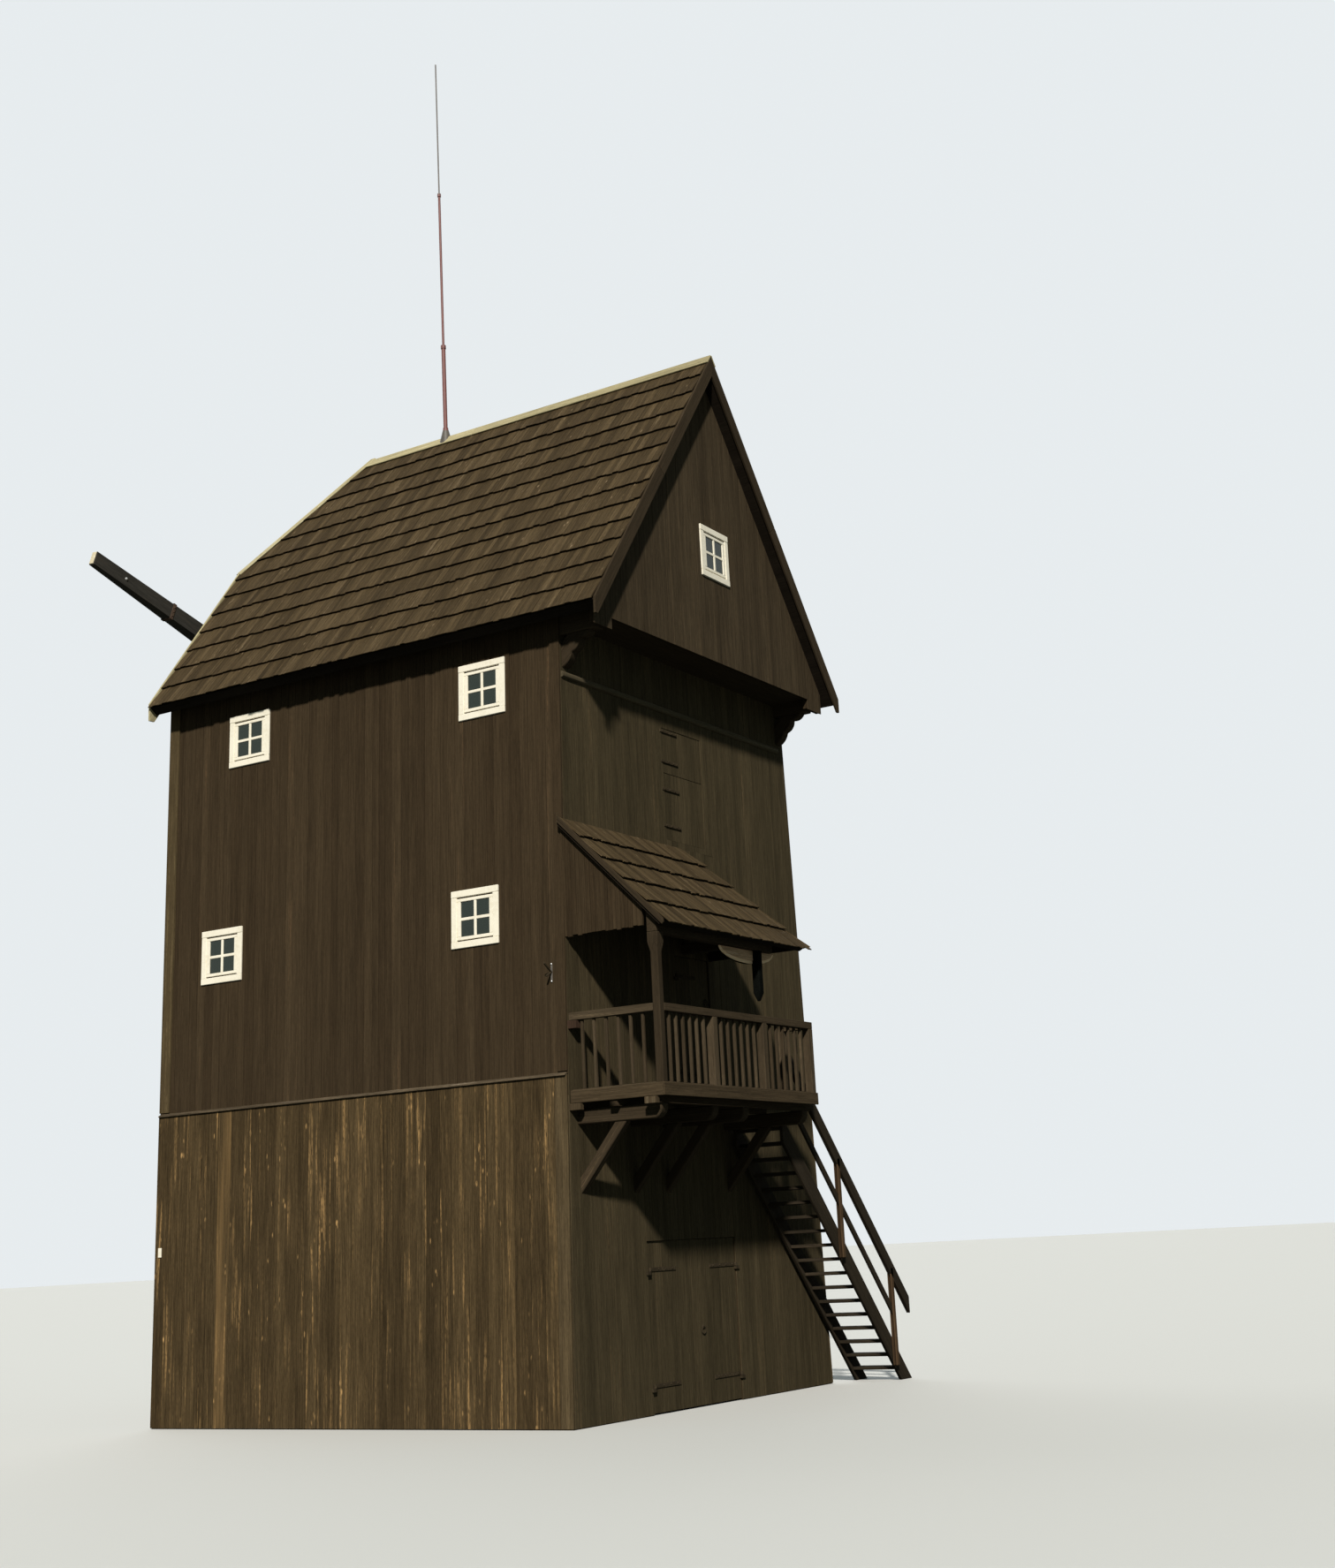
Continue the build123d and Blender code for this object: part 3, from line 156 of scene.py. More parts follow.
sun_lamp("key_lamp", travel=(1.0, 0.59, -0.81), energy=4.65, softness=3, colour=(1.0, 0.96, 0.89))
sun_lamp("fill_lamp", travel=(-0.8, -1.0, -0.8), energy=1.0, softness=60, colour=(0.95, 0.98, 1.0))
print("lamps:", len(bpy.data.lights))

# %% Sky
sky_colour = (0.80, 0.84, 0.86, 1)
ambient_colour = (0.62, 0.95, 1.0, 1)
ambient_strength = 0.12
world = bpy.data.worlds.new("studio")
world.use_nodes = True
bpy.context.scene.world = world
sky = world.node_tree
ambient = sky.nodes["Background"]
ambient.inputs["Color"].default_value = ambient_colour
ambient.inputs["Strength"].default_value = ambient_strength
backdrop = sky.nodes.new("ShaderNodeBackground")
backdrop.inputs["Color"].default_value = sky_colour
rays = sky.nodes.new("ShaderNodeLightPath")
seen = sky.nodes.new("ShaderNodeMath")
seen.operation = "MAXIMUM"
sky.links.new(rays.outputs["Is Camera Ray"], seen.inputs[0])
sky.links.new(rays.outputs["Is Glossy Ray"], seen.inputs[1])
choice = sky.nodes.new("ShaderNodeMixShader")
sky.links.new(seen.outputs[0], choice.inputs["Fac"])
sky.links.new(ambient.outputs[0], choice.inputs[1])
sky.links.new(backdrop.outputs[0], choice.inputs[2])
sky.links.new(choice.outputs[0], sky.nodes["World Output"].inputs["Surface"])
bpy.context.scene.view_settings.view_transform = "Standard"
print("sky:", len(sky.nodes), "shader nodes")

# %% Floor
bpy.ops.object.select_all(action="DESELECT")
bpy.ops.mesh.primitive_plane_add(size=600)
floor = bpy.context.object
floor.name = "studio_floor"
floor_seen = (0.62, 0.62, 0.60, 1)
floor_bounce = (0.07, 0.08, 0.07, 1)
floor_paint = bpy.data.materials.new("pale_floor")
floor_paint.use_nodes = True
ground = floor_paint.node_tree
rays = ground.nodes.new("ShaderNodeLightPath")
tint = ground.nodes.new("ShaderNodeMixRGB")
tint.inputs["Color1"].default_value = floor_bounce
tint.inputs["Color2"].default_value = floor_seen
ground.links.new(rays.outputs["Is Camera Ray"], tint.inputs["Fac"])
ground.links.new(tint.outputs["Color"], ground.nodes["Principled BSDF"].inputs["Base Color"])
ground.nodes["Principled BSDF"].inputs["Roughness"].default_value = 0.95
floor.data.materials.append(floor_paint)
print("floor:", floor.name)


# %% [markdown]
# ## Wood, paint, iron and glass
# Every finish is worked out from coordinates. Each board carries two attributes: grain, its own
# coordinates in metres with Z along the board and a random start, and tone, one random number.
# Stretched noise on grain gives streaks that run along the board, and tone makes neighbours differ.
# Pieces of the frame that keep their own mesh have no such attributes and read Object coordinates
# instead.

# %% Shader helpers
def feed(tree, socket, value):
    """Link a value that comes out of another node to a socket, or set a plain one."""
    if isinstance(value, bpy.types.NodeSocket):
        tree.links.new(value, socket)
    else:
        socket.default_value = value


def add_node(tree, kind, settings=None, **inputs):
    """A shader node with its properties set and its inputs fed by name."""
    made = tree.nodes.new("ShaderNode" + kind)
    for key, value in (settings or {}).items():
        setattr(made, key, value)
    for key, value in inputs.items():
        feed(tree, made.inputs[key], value)
    return made


def mix_colours(tree, factor, first, second, blend="MIX"):
    """The colour between two colours, by a factor."""
    made = tree.nodes.new("ShaderNodeMix")
    made.data_type = "RGBA"
    made.blend_type = blend
    colour_inputs = [socket for socket in made.inputs if socket.type == "RGBA"]
    for socket, value in zip([made.inputs[0]] + colour_inputs, (factor, first, second)):
        feed(tree, socket, (*value, 1) if isinstance(value, tuple) else value)
    return next(socket for socket in made.outputs if socket.type == "RGBA")


def spread(tree, value, low, high):
    """A value between low and high stretched to 0..1 and cut off outside."""
    limits = {"From Min": low, "From Max": high}
    return add_node(tree, "MapRange", {"clamp": True}, Value=value, **limits).outputs["Result"]


def times(tree, first, second):
    """The product of two values."""
    made = add_node(tree, "Math", {"operation": "MULTIPLY"})
    feed(tree, made.inputs[0], first)
    feed(tree, made.inputs[1], second)
    return made.outputs[0]


def object_place(tree):
    """Where a point lies on its object."""
    return add_node(tree, "TexCoord").outputs["Object"]


def even_noise(tree, place, scale, detail):
    """Noise alike in all directions, at a scale per metre."""
    return add_node(tree, "TexNoise", Vector=place, Scale=scale, Detail=detail).outputs["Fac"]


def stretched_noise(tree, place, across, along, detail=4.0, distortion=0.0):
    """Noise drawn out along Z, for grain and streaks, at two scales per metre."""
    scaled = add_node(tree, "Mapping", Vector=place, Scale=(across, across, along)).outputs["Vector"]
    settings = {"Scale": 1.0, "Detail": detail, "Distortion": distortion}
    return add_node(tree, "TexNoise", Vector=scaled, **settings).outputs["Fac"]


def new_material(name, roughness, gloss):
    """A material with its tree and its surface shader."""
    material = bpy.data.materials.new(name)
    material.use_nodes = True
    shader = material.node_tree.nodes["Principled BSDF"]
    shader.inputs["Roughness"].default_value = roughness
    shader.inputs["Specular IOR Level"].default_value = gloss
    return material, material.node_tree, shader


def surface(tree, shader, colour, height, strength, depth):
    """Give the shader its colour and, from a height, its fine unevenness."""
    feed(tree, shader.inputs["Base Color"], colour)
    bump = add_node(tree, "Bump", Height=height, Strength=strength, Distance=depth)
    tree.links.new(bump.outputs["Normal"], shader.inputs["Normal"])


# %% Weathered wood
def grey(value):
    """A colour with three like parts."""
    return (value, value, value)


def grain_place(tree, axis):
    """Where a point lies on its board and the board's tone, or the like worked out along an axis."""
    if axis is None:
        place = add_node(tree, "Attribute", {"attribute_name": "grain"}).outputs["Vector"]
        return place, add_node(tree, "Attribute", {"attribute_name": "tone"}).outputs["Fac"]
    turned = {"y": (math.pi / 2, 0, 0), "z": (0, 0, 0)}[axis]
    place = add_node(tree, "Mapping", Vector=object_place(tree), Rotation=turned).outputs["Vector"]
    return place, stretched_noise(tree, place, 7.0, 0.2, 0.0)


def add_knots(tree, colour, place, flecks, patches, knot_colour, strength):
    """Pale, slanted and ragged knots of two sizes, in some places only."""
    for size, turn in (((15.0, 15.0, 4.0), 0.35), ((9.0, 9.0, 4.0), -0.3)):
        scaled = add_node(tree, "Mapping", Vector=place, Scale=size, Rotation=(0, turn, 0))
        cells = add_node(tree, "TexVoronoi", Vector=scaled.outputs["Vector"], Scale=1.0)
        inside = spread(tree, cells.outputs["Distance"], 0.16, 0.06)
        ragged = times(tree, inside, spread(tree, flecks, 0.35, 0.55))
        here = times(tree, ragged, spread(tree, patches, 0.50, 0.66))
        colour = mix_colours(tree, times(tree, here, strength), colour, knot_colour)
    return colour


def wood(
    name, dark, pale, worn, share=0.1, contrast=1.0, thin=36.0, spots=0.0, axis=None, gloss=0.05, bleach=0.0
):
    """Weathered wood whose boards lie between a dark and a pale colour.

    Share of the boards has thin streaks of the worn colour, thin is their scale, and contrast
    strengthens the grain. Spots and bleach are how strong pale knots and faded boards are. Axis is
    the way of the grain on a piece without attributes.
    """
    material, tree, shader = new_material(name, 0.9, gloss)
    place, tone = grain_place(tree, axis)
    fine = stretched_noise(tree, place, 95.0, 2.6, 5.0)
    broad = stretched_noise(tree, place, 15.0, 0.45)
    flecks = stretched_noise(tree, place, 120.0, 18.0, 4.0)
    streaks = stretched_noise(tree, place, thin, 0.9, 5.0, 0.5)
    patches = stretched_noise(tree, place, 1.4, 0.8, 3.0)
    colour = mix_colours(tree, tone, dark, pale)
    for noise, strength in ((fine, 0.26), (flecks, 0.14), (broad, 0.12), (patches, 0.07)):
        swing = strength * contrast
        shade = mix_colours(tree, spread(tree, noise, 0.3, 0.7), grey(1 - swing), grey(1 + swing))
        colour = mix_colours(tree, 1.0, colour, shade, "MULTIPLY")
    worn_boards = spread(tree, tone, 1.0 - share, 1.12 - share)
    worn_places = times(tree, spread(tree, streaks, 0.55, 0.68), spread(tree, patches, 0.40, 0.58))
    worn_places = times(tree, worn_places, spread(tree, flecks, 0.32, 0.56))
    colour = mix_colours(tree, times(tree, worn_boards, worn_places), colour, worn)
    if bleach:
        bleached = times(tree, spread(tree, tone, 0.90, 0.93), spread(tree, broad, 0.30, 0.60))
        faded = tuple(part * 0.6 for part in worn)
        colour = mix_colours(tree, times(tree, bleached, bleach), colour, faded)
    if spots:
        knot_colour = tuple(min(1.0, part * 1.8) for part in worn)
        colour = add_knots(tree, colour, place, flecks, patches, knot_colour, spots)
    surface(tree, shader, colour, fine, 0.35, 0.004)
    return material


# %% Dark and stained woods
dark_low = (0.0335, 0.0225, 0.0122)
dark_high = (0.0465, 0.0320, 0.0175)
dark_wood = wood("dark_stained_boards", dark_low, dark_high, (0.095, 0.058, 0.030), 0.15)
# The tail wall's boards are painted paler than the long walls' boards: painted light that makes up for the
# key lamp lighting the tail side less. The door leaves and hatch use the same wood.
tail_wood = wood(
    "tail_wall_wood", (0.044, 0.0340, 0.0182), (0.059, 0.0450, 0.0243), (0.110, 0.075, 0.038), 0.2, 1.2
)
gable_wood = wood(
    "gable_wood", (0.043, 0.0310, 0.0180), (0.055, 0.0400, 0.0232), (0.090, 0.062, 0.034), 0.2, 1.2
)
timber_wood = wood(
    "stained_timber", (0.032, 0.023, 0.0135), (0.046, 0.033, 0.0195), (0.10, 0.07, 0.04), 0.3
)
stair_wood = wood(
    "dark_stair_wood", (0.024, 0.0185, 0.012), (0.034, 0.026, 0.017), (0.075, 0.055, 0.035), 0.4, 1.2
)
# The porch pendant is painted near black: painted shade, for it hangs in the porch's shade.
pendant_painted_shade = wood(
    "pendant_painted_black_shade", (0.004, 0.0045, 0.004), (0.006, 0.0065, 0.0055), (0.02, 0.02, 0.016), 0.4, gloss=0.0
)
# Dark wood painted as shade: it backs the gaps over and under the sashes and colours the lug under the left
# rail.
painted_shade_wood = wood("wood_painted_as_shade", (0.030, 0.018, 0.012), (0.050, 0.030, 0.020), (0.12, 0.08, 0.05), 0.3)
stock_wood = wood(
    "tarred_stock", (0.036, 0.034, 0.029), (0.046, 0.043, 0.037), (0.060, 0.048, 0.036), 0.9, 0.8
)
print("dark woods:", len(bpy.data.materials))

# %% Weathered and bleached woods
skirt_wood = wood(
    "weathered_skirt_boards", (0.044, 0.0295, 0.0140), (0.072, 0.0485, 0.0228), (0.32, 0.195, 0.080),
    0.85, 1.6, 30.0, spots=1.0, bleach=0.5,
)
skirt_edge_wood = wood(
    "skirt_corner_board", (0.070, 0.050, 0.026), (0.088, 0.063, 0.033), (0.18, 0.125, 0.07), 0.5, 1.3
)
shingle_wood = wood(
    "shingle_wood", (0.040, 0.0275, 0.0136), (0.069, 0.0480, 0.0240), (0.150, 0.110, 0.065),
    0.5, 1.5, 80.0, spots=0.8,
)
# The moulding strip is paler than the wall boards, partly painted light so that it shows in the jetty's
# shade; the porch lintel uses the same wood.
moulding_wood = wood("moulding_wood", (0.062, 0.050, 0.030), (0.085, 0.068, 0.041), (0.14, 0.11, 0.07), 0.5)
edge_wood = wood(
    "balcony_edge_wood", (0.052, 0.037, 0.021), (0.066, 0.047, 0.027), (0.20, 0.16, 0.10), 0.6, 1.2
)
rail_wood = wood(
    "railing_wood", (0.042, 0.030, 0.0175), (0.060, 0.044, 0.0265), (0.12, 0.088, 0.052), 0.5, 1.1
)
orange_wood = wood(
    "newer_post_wood", (0.056, 0.034, 0.018), (0.070, 0.043, 0.023), (0.12, 0.08, 0.045), 0.5
)
tan_wood = wood("tan_corner_board", (0.056, 0.040, 0.020), (0.078, 0.056, 0.028), (0.15, 0.11, 0.055), 0.7)
ridge_wood = wood("bleached_ridge_boards", (0.30, 0.26, 0.15), (0.40, 0.35, 0.205), (0.60, 0.55, 0.38), 0.9)
drip_wood = wood(
    "grey_drip_board", (0.080, 0.060, 0.038), (0.115, 0.088, 0.056), (0.38, 0.31, 0.23), 1.1, 2.0
)
pale_wood = wood("pale_sawn_wood", (0.52, 0.46, 0.32), (0.64, 0.57, 0.41), (0.74, 0.68, 0.52), 0.9, 0.5)
# The bolster's rim and field are painted far paler than any timber round them: painted sunlight on a piece
# that hangs in the porch's shade.
bolster_painted_sunlight = wood(
    "bolster_painted_sunlit", (0.86, 0.60, 0.37), (0.94, 0.68, 0.44), (0.95, 0.80, 0.60), 0.9, 0.6
)
bolster_field_painted_light = wood(
    "bolster_field", (0.42, 0.27, 0.16), (0.56, 0.37, 0.23), (0.9, 0.70, 0.48), 0.9, 1.2
)
print("woods so far:", len(bpy.data.materials))

# %% Woods behind the boards, and inside
back_tone = (0.030, 0.021, 0.012)
dark_wood_behind = wood("dark_wood_behind", back_tone, dark_low, dark_high, axis="z")
skirt_wood_behind = wood(
    "skirt_wood_behind", back_tone, (0.045, 0.030, 0.015), (0.08, 0.05, 0.02), axis="z"
)
# The roof slabs under the shingles are painted near black, painted shade, so that their lit eave ends read
# as shadow under the shingles.
roof_wood_painted_shade = wood(
    "roof_underside_painted_shade", (0.010, 0.0075, 0.005), (0.016, 0.012, 0.008), (0.05, 0.035, 0.02), axis="y"
)
floor_wood = wood(
    "bare_floor_boards", (0.20, 0.14, 0.085), (0.28, 0.20, 0.12), (0.34, 0.25, 0.15), 0.3, axis="y"
)
print("all woods:", len(bpy.data.materials))


# %% Paint and metal
def plain_finish(name, colour, shade, roughness, metallic=0.0, scale=30.0, gloss=0.25):
    """Paint or metal with a mottled tone and a slight unevenness."""
    material, tree, shader = new_material(name, roughness, gloss)
    shader.inputs["Metallic"].default_value = metallic
    place = object_place(tree)
    mottle = even_noise(tree, place, scale, 5.0)
    stains = even_noise(tree, place, scale / 8, 3.0)
    factor = times(tree, spread(tree, mottle, 0.35, 0.75), spread(tree, stains, 0.3, 0.65))
    surface(tree, shader, mix_colours(tree, factor, colour, shade), mottle, 0.15, 0.002)
    return material


cream_paint = plain_finish("cream_paint", (0.84, 0.79, 0.66), (0.72, 0.66, 0.52), 0.6)
iron = plain_finish("blackened_iron", (0.034, 0.026, 0.016), (0.075, 0.056, 0.034), 0.9, 0.0, 60.0, 0.02)
pale_iron = plain_finish("worn_iron", (0.10, 0.09, 0.08), (0.16, 0.15, 0.13), 0.7, 0.0, 60.0, 0.1)
rust_iron = plain_finish("rusty_iron", (0.070, 0.045, 0.032), (0.13, 0.095, 0.068), 0.9, 0.0, 60.0, 0.05)
bolt_metal = plain_finish("bright_bolt", (0.50, 0.50, 0.48), (0.34, 0.33, 0.31), 0.4, 0.8, 80.0)
print("finishes:", len(bpy.data.materials))


# %% Rod
def rod_finish():
    """A dark foot, red-brown paint on the two lower lengths of the rod and bare grey metal above."""
    material, tree, shader = new_material("rod_paint", 0.5, 0.5)
    place = object_place(tree)
    height = add_node(tree, "SeparateXYZ", Vector=place).outputs["Z"]
    mottle = even_noise(tree, place, 9.0, 4.0)
    mottled = spread(tree, mottle, 0.35, 0.7)
    red = mix_colours(tree, mottled, (0.125, 0.036, 0.030), (0.165, 0.052, 0.042))
    metal = mix_colours(tree, mottled, (0.10, 0.085, 0.075), (0.14, 0.125, 0.115))
    foot = mix_colours(tree, mottled, (0.050, 0.042, 0.032), (0.085, 0.072, 0.055))
    colour = mix_colours(tree, spread(tree, height, 12.60, 12.62), foot, red)
    colour = mix_colours(tree, spread(tree, height, 16.10, 16.13), colour, metal)
    surface(tree, shader, colour, mottle, 0.1, 0.002)
    return material


rod_paint = rod_finish()
print("finish:", rod_paint.name)


# %% Glass
def glass_finish():
    """Thin clear glass, with a dark colour painted as the shade of the unlit room behind it."""
    material, tree, shader = new_material("window_pane", 0.06, 0.4)
    shader.inputs["Alpha"].default_value = 0.8
    waves = even_noise(tree, object_place(tree), 3.0, 1.0)
    surface(tree, shader, (0.020, 0.030, 0.022, 1), waves, 0.08, 0.01)
    return material


glass = glass_finish()
print("finish:", glass.name)

# %% [markdown]
# ## One board, copied and stretched
# Boards, battens, bars and shingles all start as one small block, bevelled in edit mode. A copy is
# stretched to its place by moving each of its halves outwards, so that its bevels keep their size. The
# copies of a wall are joined into one mesh and turned onto the wall together.

# %% A block to copy
block_size = 0.02


def deselect_all():
    """Nothing stays selected before the next operator."""
    if bpy.context.object and bpy.context.object.mode != "OBJECT":
        bpy.ops.object.mode_set(mode="OBJECT")
    bpy.ops.object.select_all(action="DESELECT")


def make_active(piece):
    """Only this piece is selected."""
    deselect_all()
    piece.select_set(True)
    bpy.context.view_layer.objects.active = piece


def block(name, bevel, front_only=False):
    """A small bevelled block about the origin, with room for its grain and tone."""
    deselect_all()
    bpy.ops.mesh.primitive_cube_add(size=block_size)
    piece = bpy.context.object
    piece.name = name
    bpy.ops.object.mode_set(mode="EDIT")
    bpy.ops.mesh.select_all(action="DESELECT")
    shape = bmesh.from_edit_mesh(piece.data)
    for edge in shape.edges:
        ends = [vert.co for vert in edge.verts]
        in_front = all(end.y < 0 for end in ends)
        upright = abs(ends[0].z - ends[1].z) > block_size / 2
        edge.select = (in_front and upright) or not front_only
    shape.select_flush_mode()
    bmesh.update_edit_mesh(piece.data)
    bpy.ops.mesh.bevel(offset=bevel, segments=1)
    bpy.ops.object.mode_set(mode="OBJECT")
    piece.data.attributes.new("grain", "FLOAT_VECTOR", "POINT")
    piece.data.attributes.new("tone", "FLOAT", "POINT")
    return piece


board_block = block("board_block", 0.003, front_only=True)
bar_block = block("bar_block", 0.004)
print("blocks:", len(board_block.data.vertices), "and", len(bar_block.data.vertices), "corners")


# %% Lay and join copies
def stretched(start, sizes):
    """The block's corners moved out so that it gets these sizes."""
    return start + np.sign(start) * (np.array(sizes) - block_size) / 2


def joined(pieces, name, material):
    """One object made of many, with its place in its mesh."""
    deselect_all()
    for piece in pieces:
        piece.select_set(True)
    bpy.context.view_layer.objects.active = pieces[0]
    bpy.ops.object.join()
    whole = bpy.context.object
    whole.name = name
    whole.data.name = name
    whole.data.materials.clear()
    whole.data.materials.append(material)
    return whole


def lay(start_block, bars, name, material, where=Matrix(), seed=0, slant=0.0, wobble=0.0, lift=0.0):
    """A copy of the block for each bar, given as its left, right, back, front, foot and head.

    Back and front are measured outwards. Slant lets the foot of a bar stand out over its head, wobble
    shifts its foot at random, and lift its face.
    """
    chance = random.Random(seed)
    start = np.array([vert.co for vert in start_block.data.vertices])
    pieces = []
    for left, right, back, front, foot, head in bars:
        piece = start_block.copy()
        piece.data = start_block.data.copy()
        bpy.context.scene.collection.objects.link(piece)
        points = stretched(start, (right - left, front - back, head - foot))
        shift = np.array([chance.uniform(0, 40), chance.uniform(0, 40), chance.uniform(0, 40)])
        tone = chance.random()
        grain = (points + shift).astype(np.float32).ravel()
        piece.data.attributes["grain"].data.foreach_set("vector", grain)
        piece.data.attributes["tone"].data.foreach_set("value", np.full(len(points), tone, np.float32))
        is_foot = points[:, 2] < 0
        points += np.array([(left + right) / 2, -(back + front) / 2, (foot + head) / 2])
        points[:, 1] -= slant * (head - points[:, 2]) / (head - foot) + chance.uniform(0, lift)
        points[is_foot, 2] += chance.uniform(-wobble, wobble)
        piece.data.vertices.foreach_set("co", points.astype(np.float32).ravel())
        pieces.append(piece)
    whole = joined(pieces, name, material)
    whole.data.transform(where)
    whole.data.update()
    return whole


def facing(origin, outward, up=UP):
    """The place of a face: X runs across it, Z up along it, and its front looks towards -Y."""
    outward = Vector(outward).normalized()
    up = Vector(up)
    up = (up - outward * outward.dot(up)).normalized()
    turned = Matrix((up.cross(outward), -outward, up)).transposed().to_4x4()
    return Matrix.Translation(origin) @ turned


def saw(piece, point, normal):
    """Cut off what lies beyond a plane and close the cut."""
    make_active(piece)
    bpy.ops.object.mode_set(mode="EDIT")
    bpy.ops.mesh.select_all(action="SELECT")
    bpy.ops.mesh.bisect(plane_co=point, plane_no=normal, use_fill=True, clear_outer=True)
    bpy.ops.object.mode_set(mode="OBJECT")


def saw_both_sides(piece, point, normal):
    """Cut off what lies beyond a plane on the +X side and beyond its mirror image on the -X side."""
    for side in (-1, 1):
        saw(piece, (side * point[0], point[1], point[2]), (side * normal[0], normal[1], normal[2]))


def finish_piece(piece, body, slot, *replaced):
    """The piece rides on its body and stands for the nodes it replaces. Its slot is not used."""
    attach(piece, body)
    if replaced:
        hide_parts(*replaced)
    print(piece.name, len(piece.data.polygons), "faces")
    return piece


# %% [markdown]
# ## Wall boards
# The walls are clad with upright boards. On the real mill the upper boards are narrow and dark, and
# those of the skirt below the drip board are wider and weathered to brown. A board that meets a window
# stops under its casing, so the joints between the boards are set first where the casings and doorways
# want them, and the rest is shared out evenly.

# %% Joints and boards of a wall
board_gap = 0.004
board_stand = 0.012


def board_joints(start, end, width, fixed, chance):
    """Places of the joints from start to end, with the fixed ones among them."""
    stops = sorted({start, end, *fixed})
    places = [start]
    for low, high in zip(stops, stops[1:]):
        count = max(1, round((high - low) / width))
        shares = [chance.uniform(0.8, 1.2) for _ in range(count)]
        for share in shares:
            places.append(places[-1] + (high - low) * share / sum(shares))
        places[-1] = high
    return places


def boards_between(joints, gap, back, front, foot, head):
    """A board between each two joints, with half a gap on either side of it."""
    return [
        (left + gap / 2, right - gap / 2, back, front, foot, head)
        for left, right in zip(joints, joints[1:])
    ]


def around(x, z, reach):
    """The left, right, bottom and top of a square hole about its middle."""
    return (x - reach, x + reach, z - reach, z + reach)


def wall_boards(joints, foot, head, holes=(), stand=board_stand):
    """The boards between the joints, stopped at the holes."""
    bars = []
    for left, right in zip(joints, joints[1:]):
        middle = (left + right) / 2
        spans = [(foot, head)]
        for hole_left, hole_right, bottom, top in holes:
            if hole_left < middle < hole_right:
                below = [(low, min(high, bottom)) for low, high in spans if low < bottom]
                above = [(max(low, top), high) for low, high in spans if high > top]
                spans = below + above
        bars += [
            (left + board_gap / 2, right - board_gap / 2, 0, stand, low, high)
            for low, high in spans
            if high - low > board_gap
        ]
    return bars


# %% Long walls
casing_size = 0.65
window_hole = 0.44
casing_lap = (casing_size + window_hole) / 4
long_windows = [(1.635, 8.06), (-1.91, 8.02), (2.02, 5.425), (-1.785, 5.41)]
narrow_board = 0.115
skirt_board = 0.17
skirt_corner = 0.15
corner_lap = 0.012
board_foot = 0.01
board_lift = 0.003
drip_clearance = 0.02
lean_run = 1 / math.cos(lean)
board_head = (under_roof(body_half_width(attic_z)) - 0.01) * lean_run


def long_wall_place(side, proud=0.0):
    """The leaning face of a long wall, side -1 or +1."""
    outward = Vector((side * math.cos(lean), 0, math.sin(lean)))
    up = Vector((-side * math.sin(lean), 0, math.cos(lean)))
    return facing(Vector((side * half_width, 0, 0)) + outward * proud, outward, up)


for side, name in sides:
    chance = random.Random(11 + side)
    place = long_wall_place(side)
    holes = [around(side * y, z * lean_run, casing_lap) for y, z in long_windows]
    fixed = [edge for hole in holes for edge in hole[:2]]
    joints = board_joints(tail_y - corner_lap, sail_y + corner_lap, narrow_board, fixed, chance)
    bars = wall_boards(joints, (skirt_top + drip_clearance) * lean_run, board_head, holes)
    upper = lay(board_block, bars, name + "_wall_boards", dark_wood, place, 20 + side, lift=board_lift)
    finish_piece(upper, "mill", "dark_boards")
    place = long_wall_place(side, skirt_proud)
    corner_joint = side * (tail_y + skirt_corner)
    joints = board_joints(tail_y - corner_lap, sail_y + corner_lap, skirt_board, (corner_joint,), chance)
    bars = wall_boards(joints, board_foot, skirt_top * lean_run)
    edge_bars = [bar for bar in bars if (bar[0] - corner_joint) * side < 0]
    skirt_bars = [bar for bar in bars if (bar[0] - corner_joint) * side > 0]
    edge = lay(board_block, edge_bars, name + "_skirt_corner", skirt_edge_wood, place, 28 + side)
    finish_piece(edge, "mill", "skirt_boards")
    name += "_skirt_boards"
    skirt = lay(board_block, skirt_bars, name, skirt_wood, place, 30 + side, lift=board_lift)
    finish_piece(skirt, "mill", "skirt_boards")

# %% [markdown]
# The two end walls are flat and upright. Their boards are laid past the corners and then sawn off along
# the lean of the long walls. On the tail wall they stop at the doors and the hatch, behind the balcony
# floor and at the porch roof.

# %% Tail wall
leaf_gap = 0.005
door_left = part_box("ground_door_left")[0].x - leaf_gap
door_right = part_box("ground_door_right")[1].x + leaf_gap
door_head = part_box("rear_wall_door_piers")[1].z
porch_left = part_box("porch_door")[0].x - leaf_gap
porch_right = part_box("porch_door")[1].x + leaf_gap
porch_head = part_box("rear_wall_porch_piers")[1].z
hatch_low, hatch_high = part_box("hatch_leaves")
porch_top_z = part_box("porch_roof_front")[1].z
tail_board = 0.135
outer_edge = half_width + 0.02
corner_point = (half_width, 0, 0)
corner_normal = (math.cos(lean), 0, math.sin(lean))
tail_place = facing((0, tail_y, 0), (0, -1, 0))
chance = random.Random(5)
outer_left = board_joints(-outer_edge, door_left, tail_board, (), chance)
outer_right = board_joints(door_right, outer_edge, tail_board, (), chance)
bars = wall_boards(outer_left, board_foot, attic_z) + wall_boards(outer_right, board_foot, attic_z)
porch_hole = (porch_left, porch_right, entrance_z, porch_head)
hatch_hole = (hatch_low.x, hatch_high.x, hatch_low.z, hatch_high.z)
bands = (
    (door_head, entrance_z, (), []),
    (entrance_z, porch_top_z, porch_hole[:2], [porch_hole]),
    (porch_top_z, attic_z, hatch_hole[:2], [hatch_hole]),
)
for foot, head, fixed, holes in bands:
    joints = board_joints(door_left, door_right, tail_board, fixed, chance)
    bars += wall_boards(joints, foot, head, holes)
tail = lay(board_block, bars, "tail_wall_boards", tail_wood, tail_place, 41, lift=board_lift)
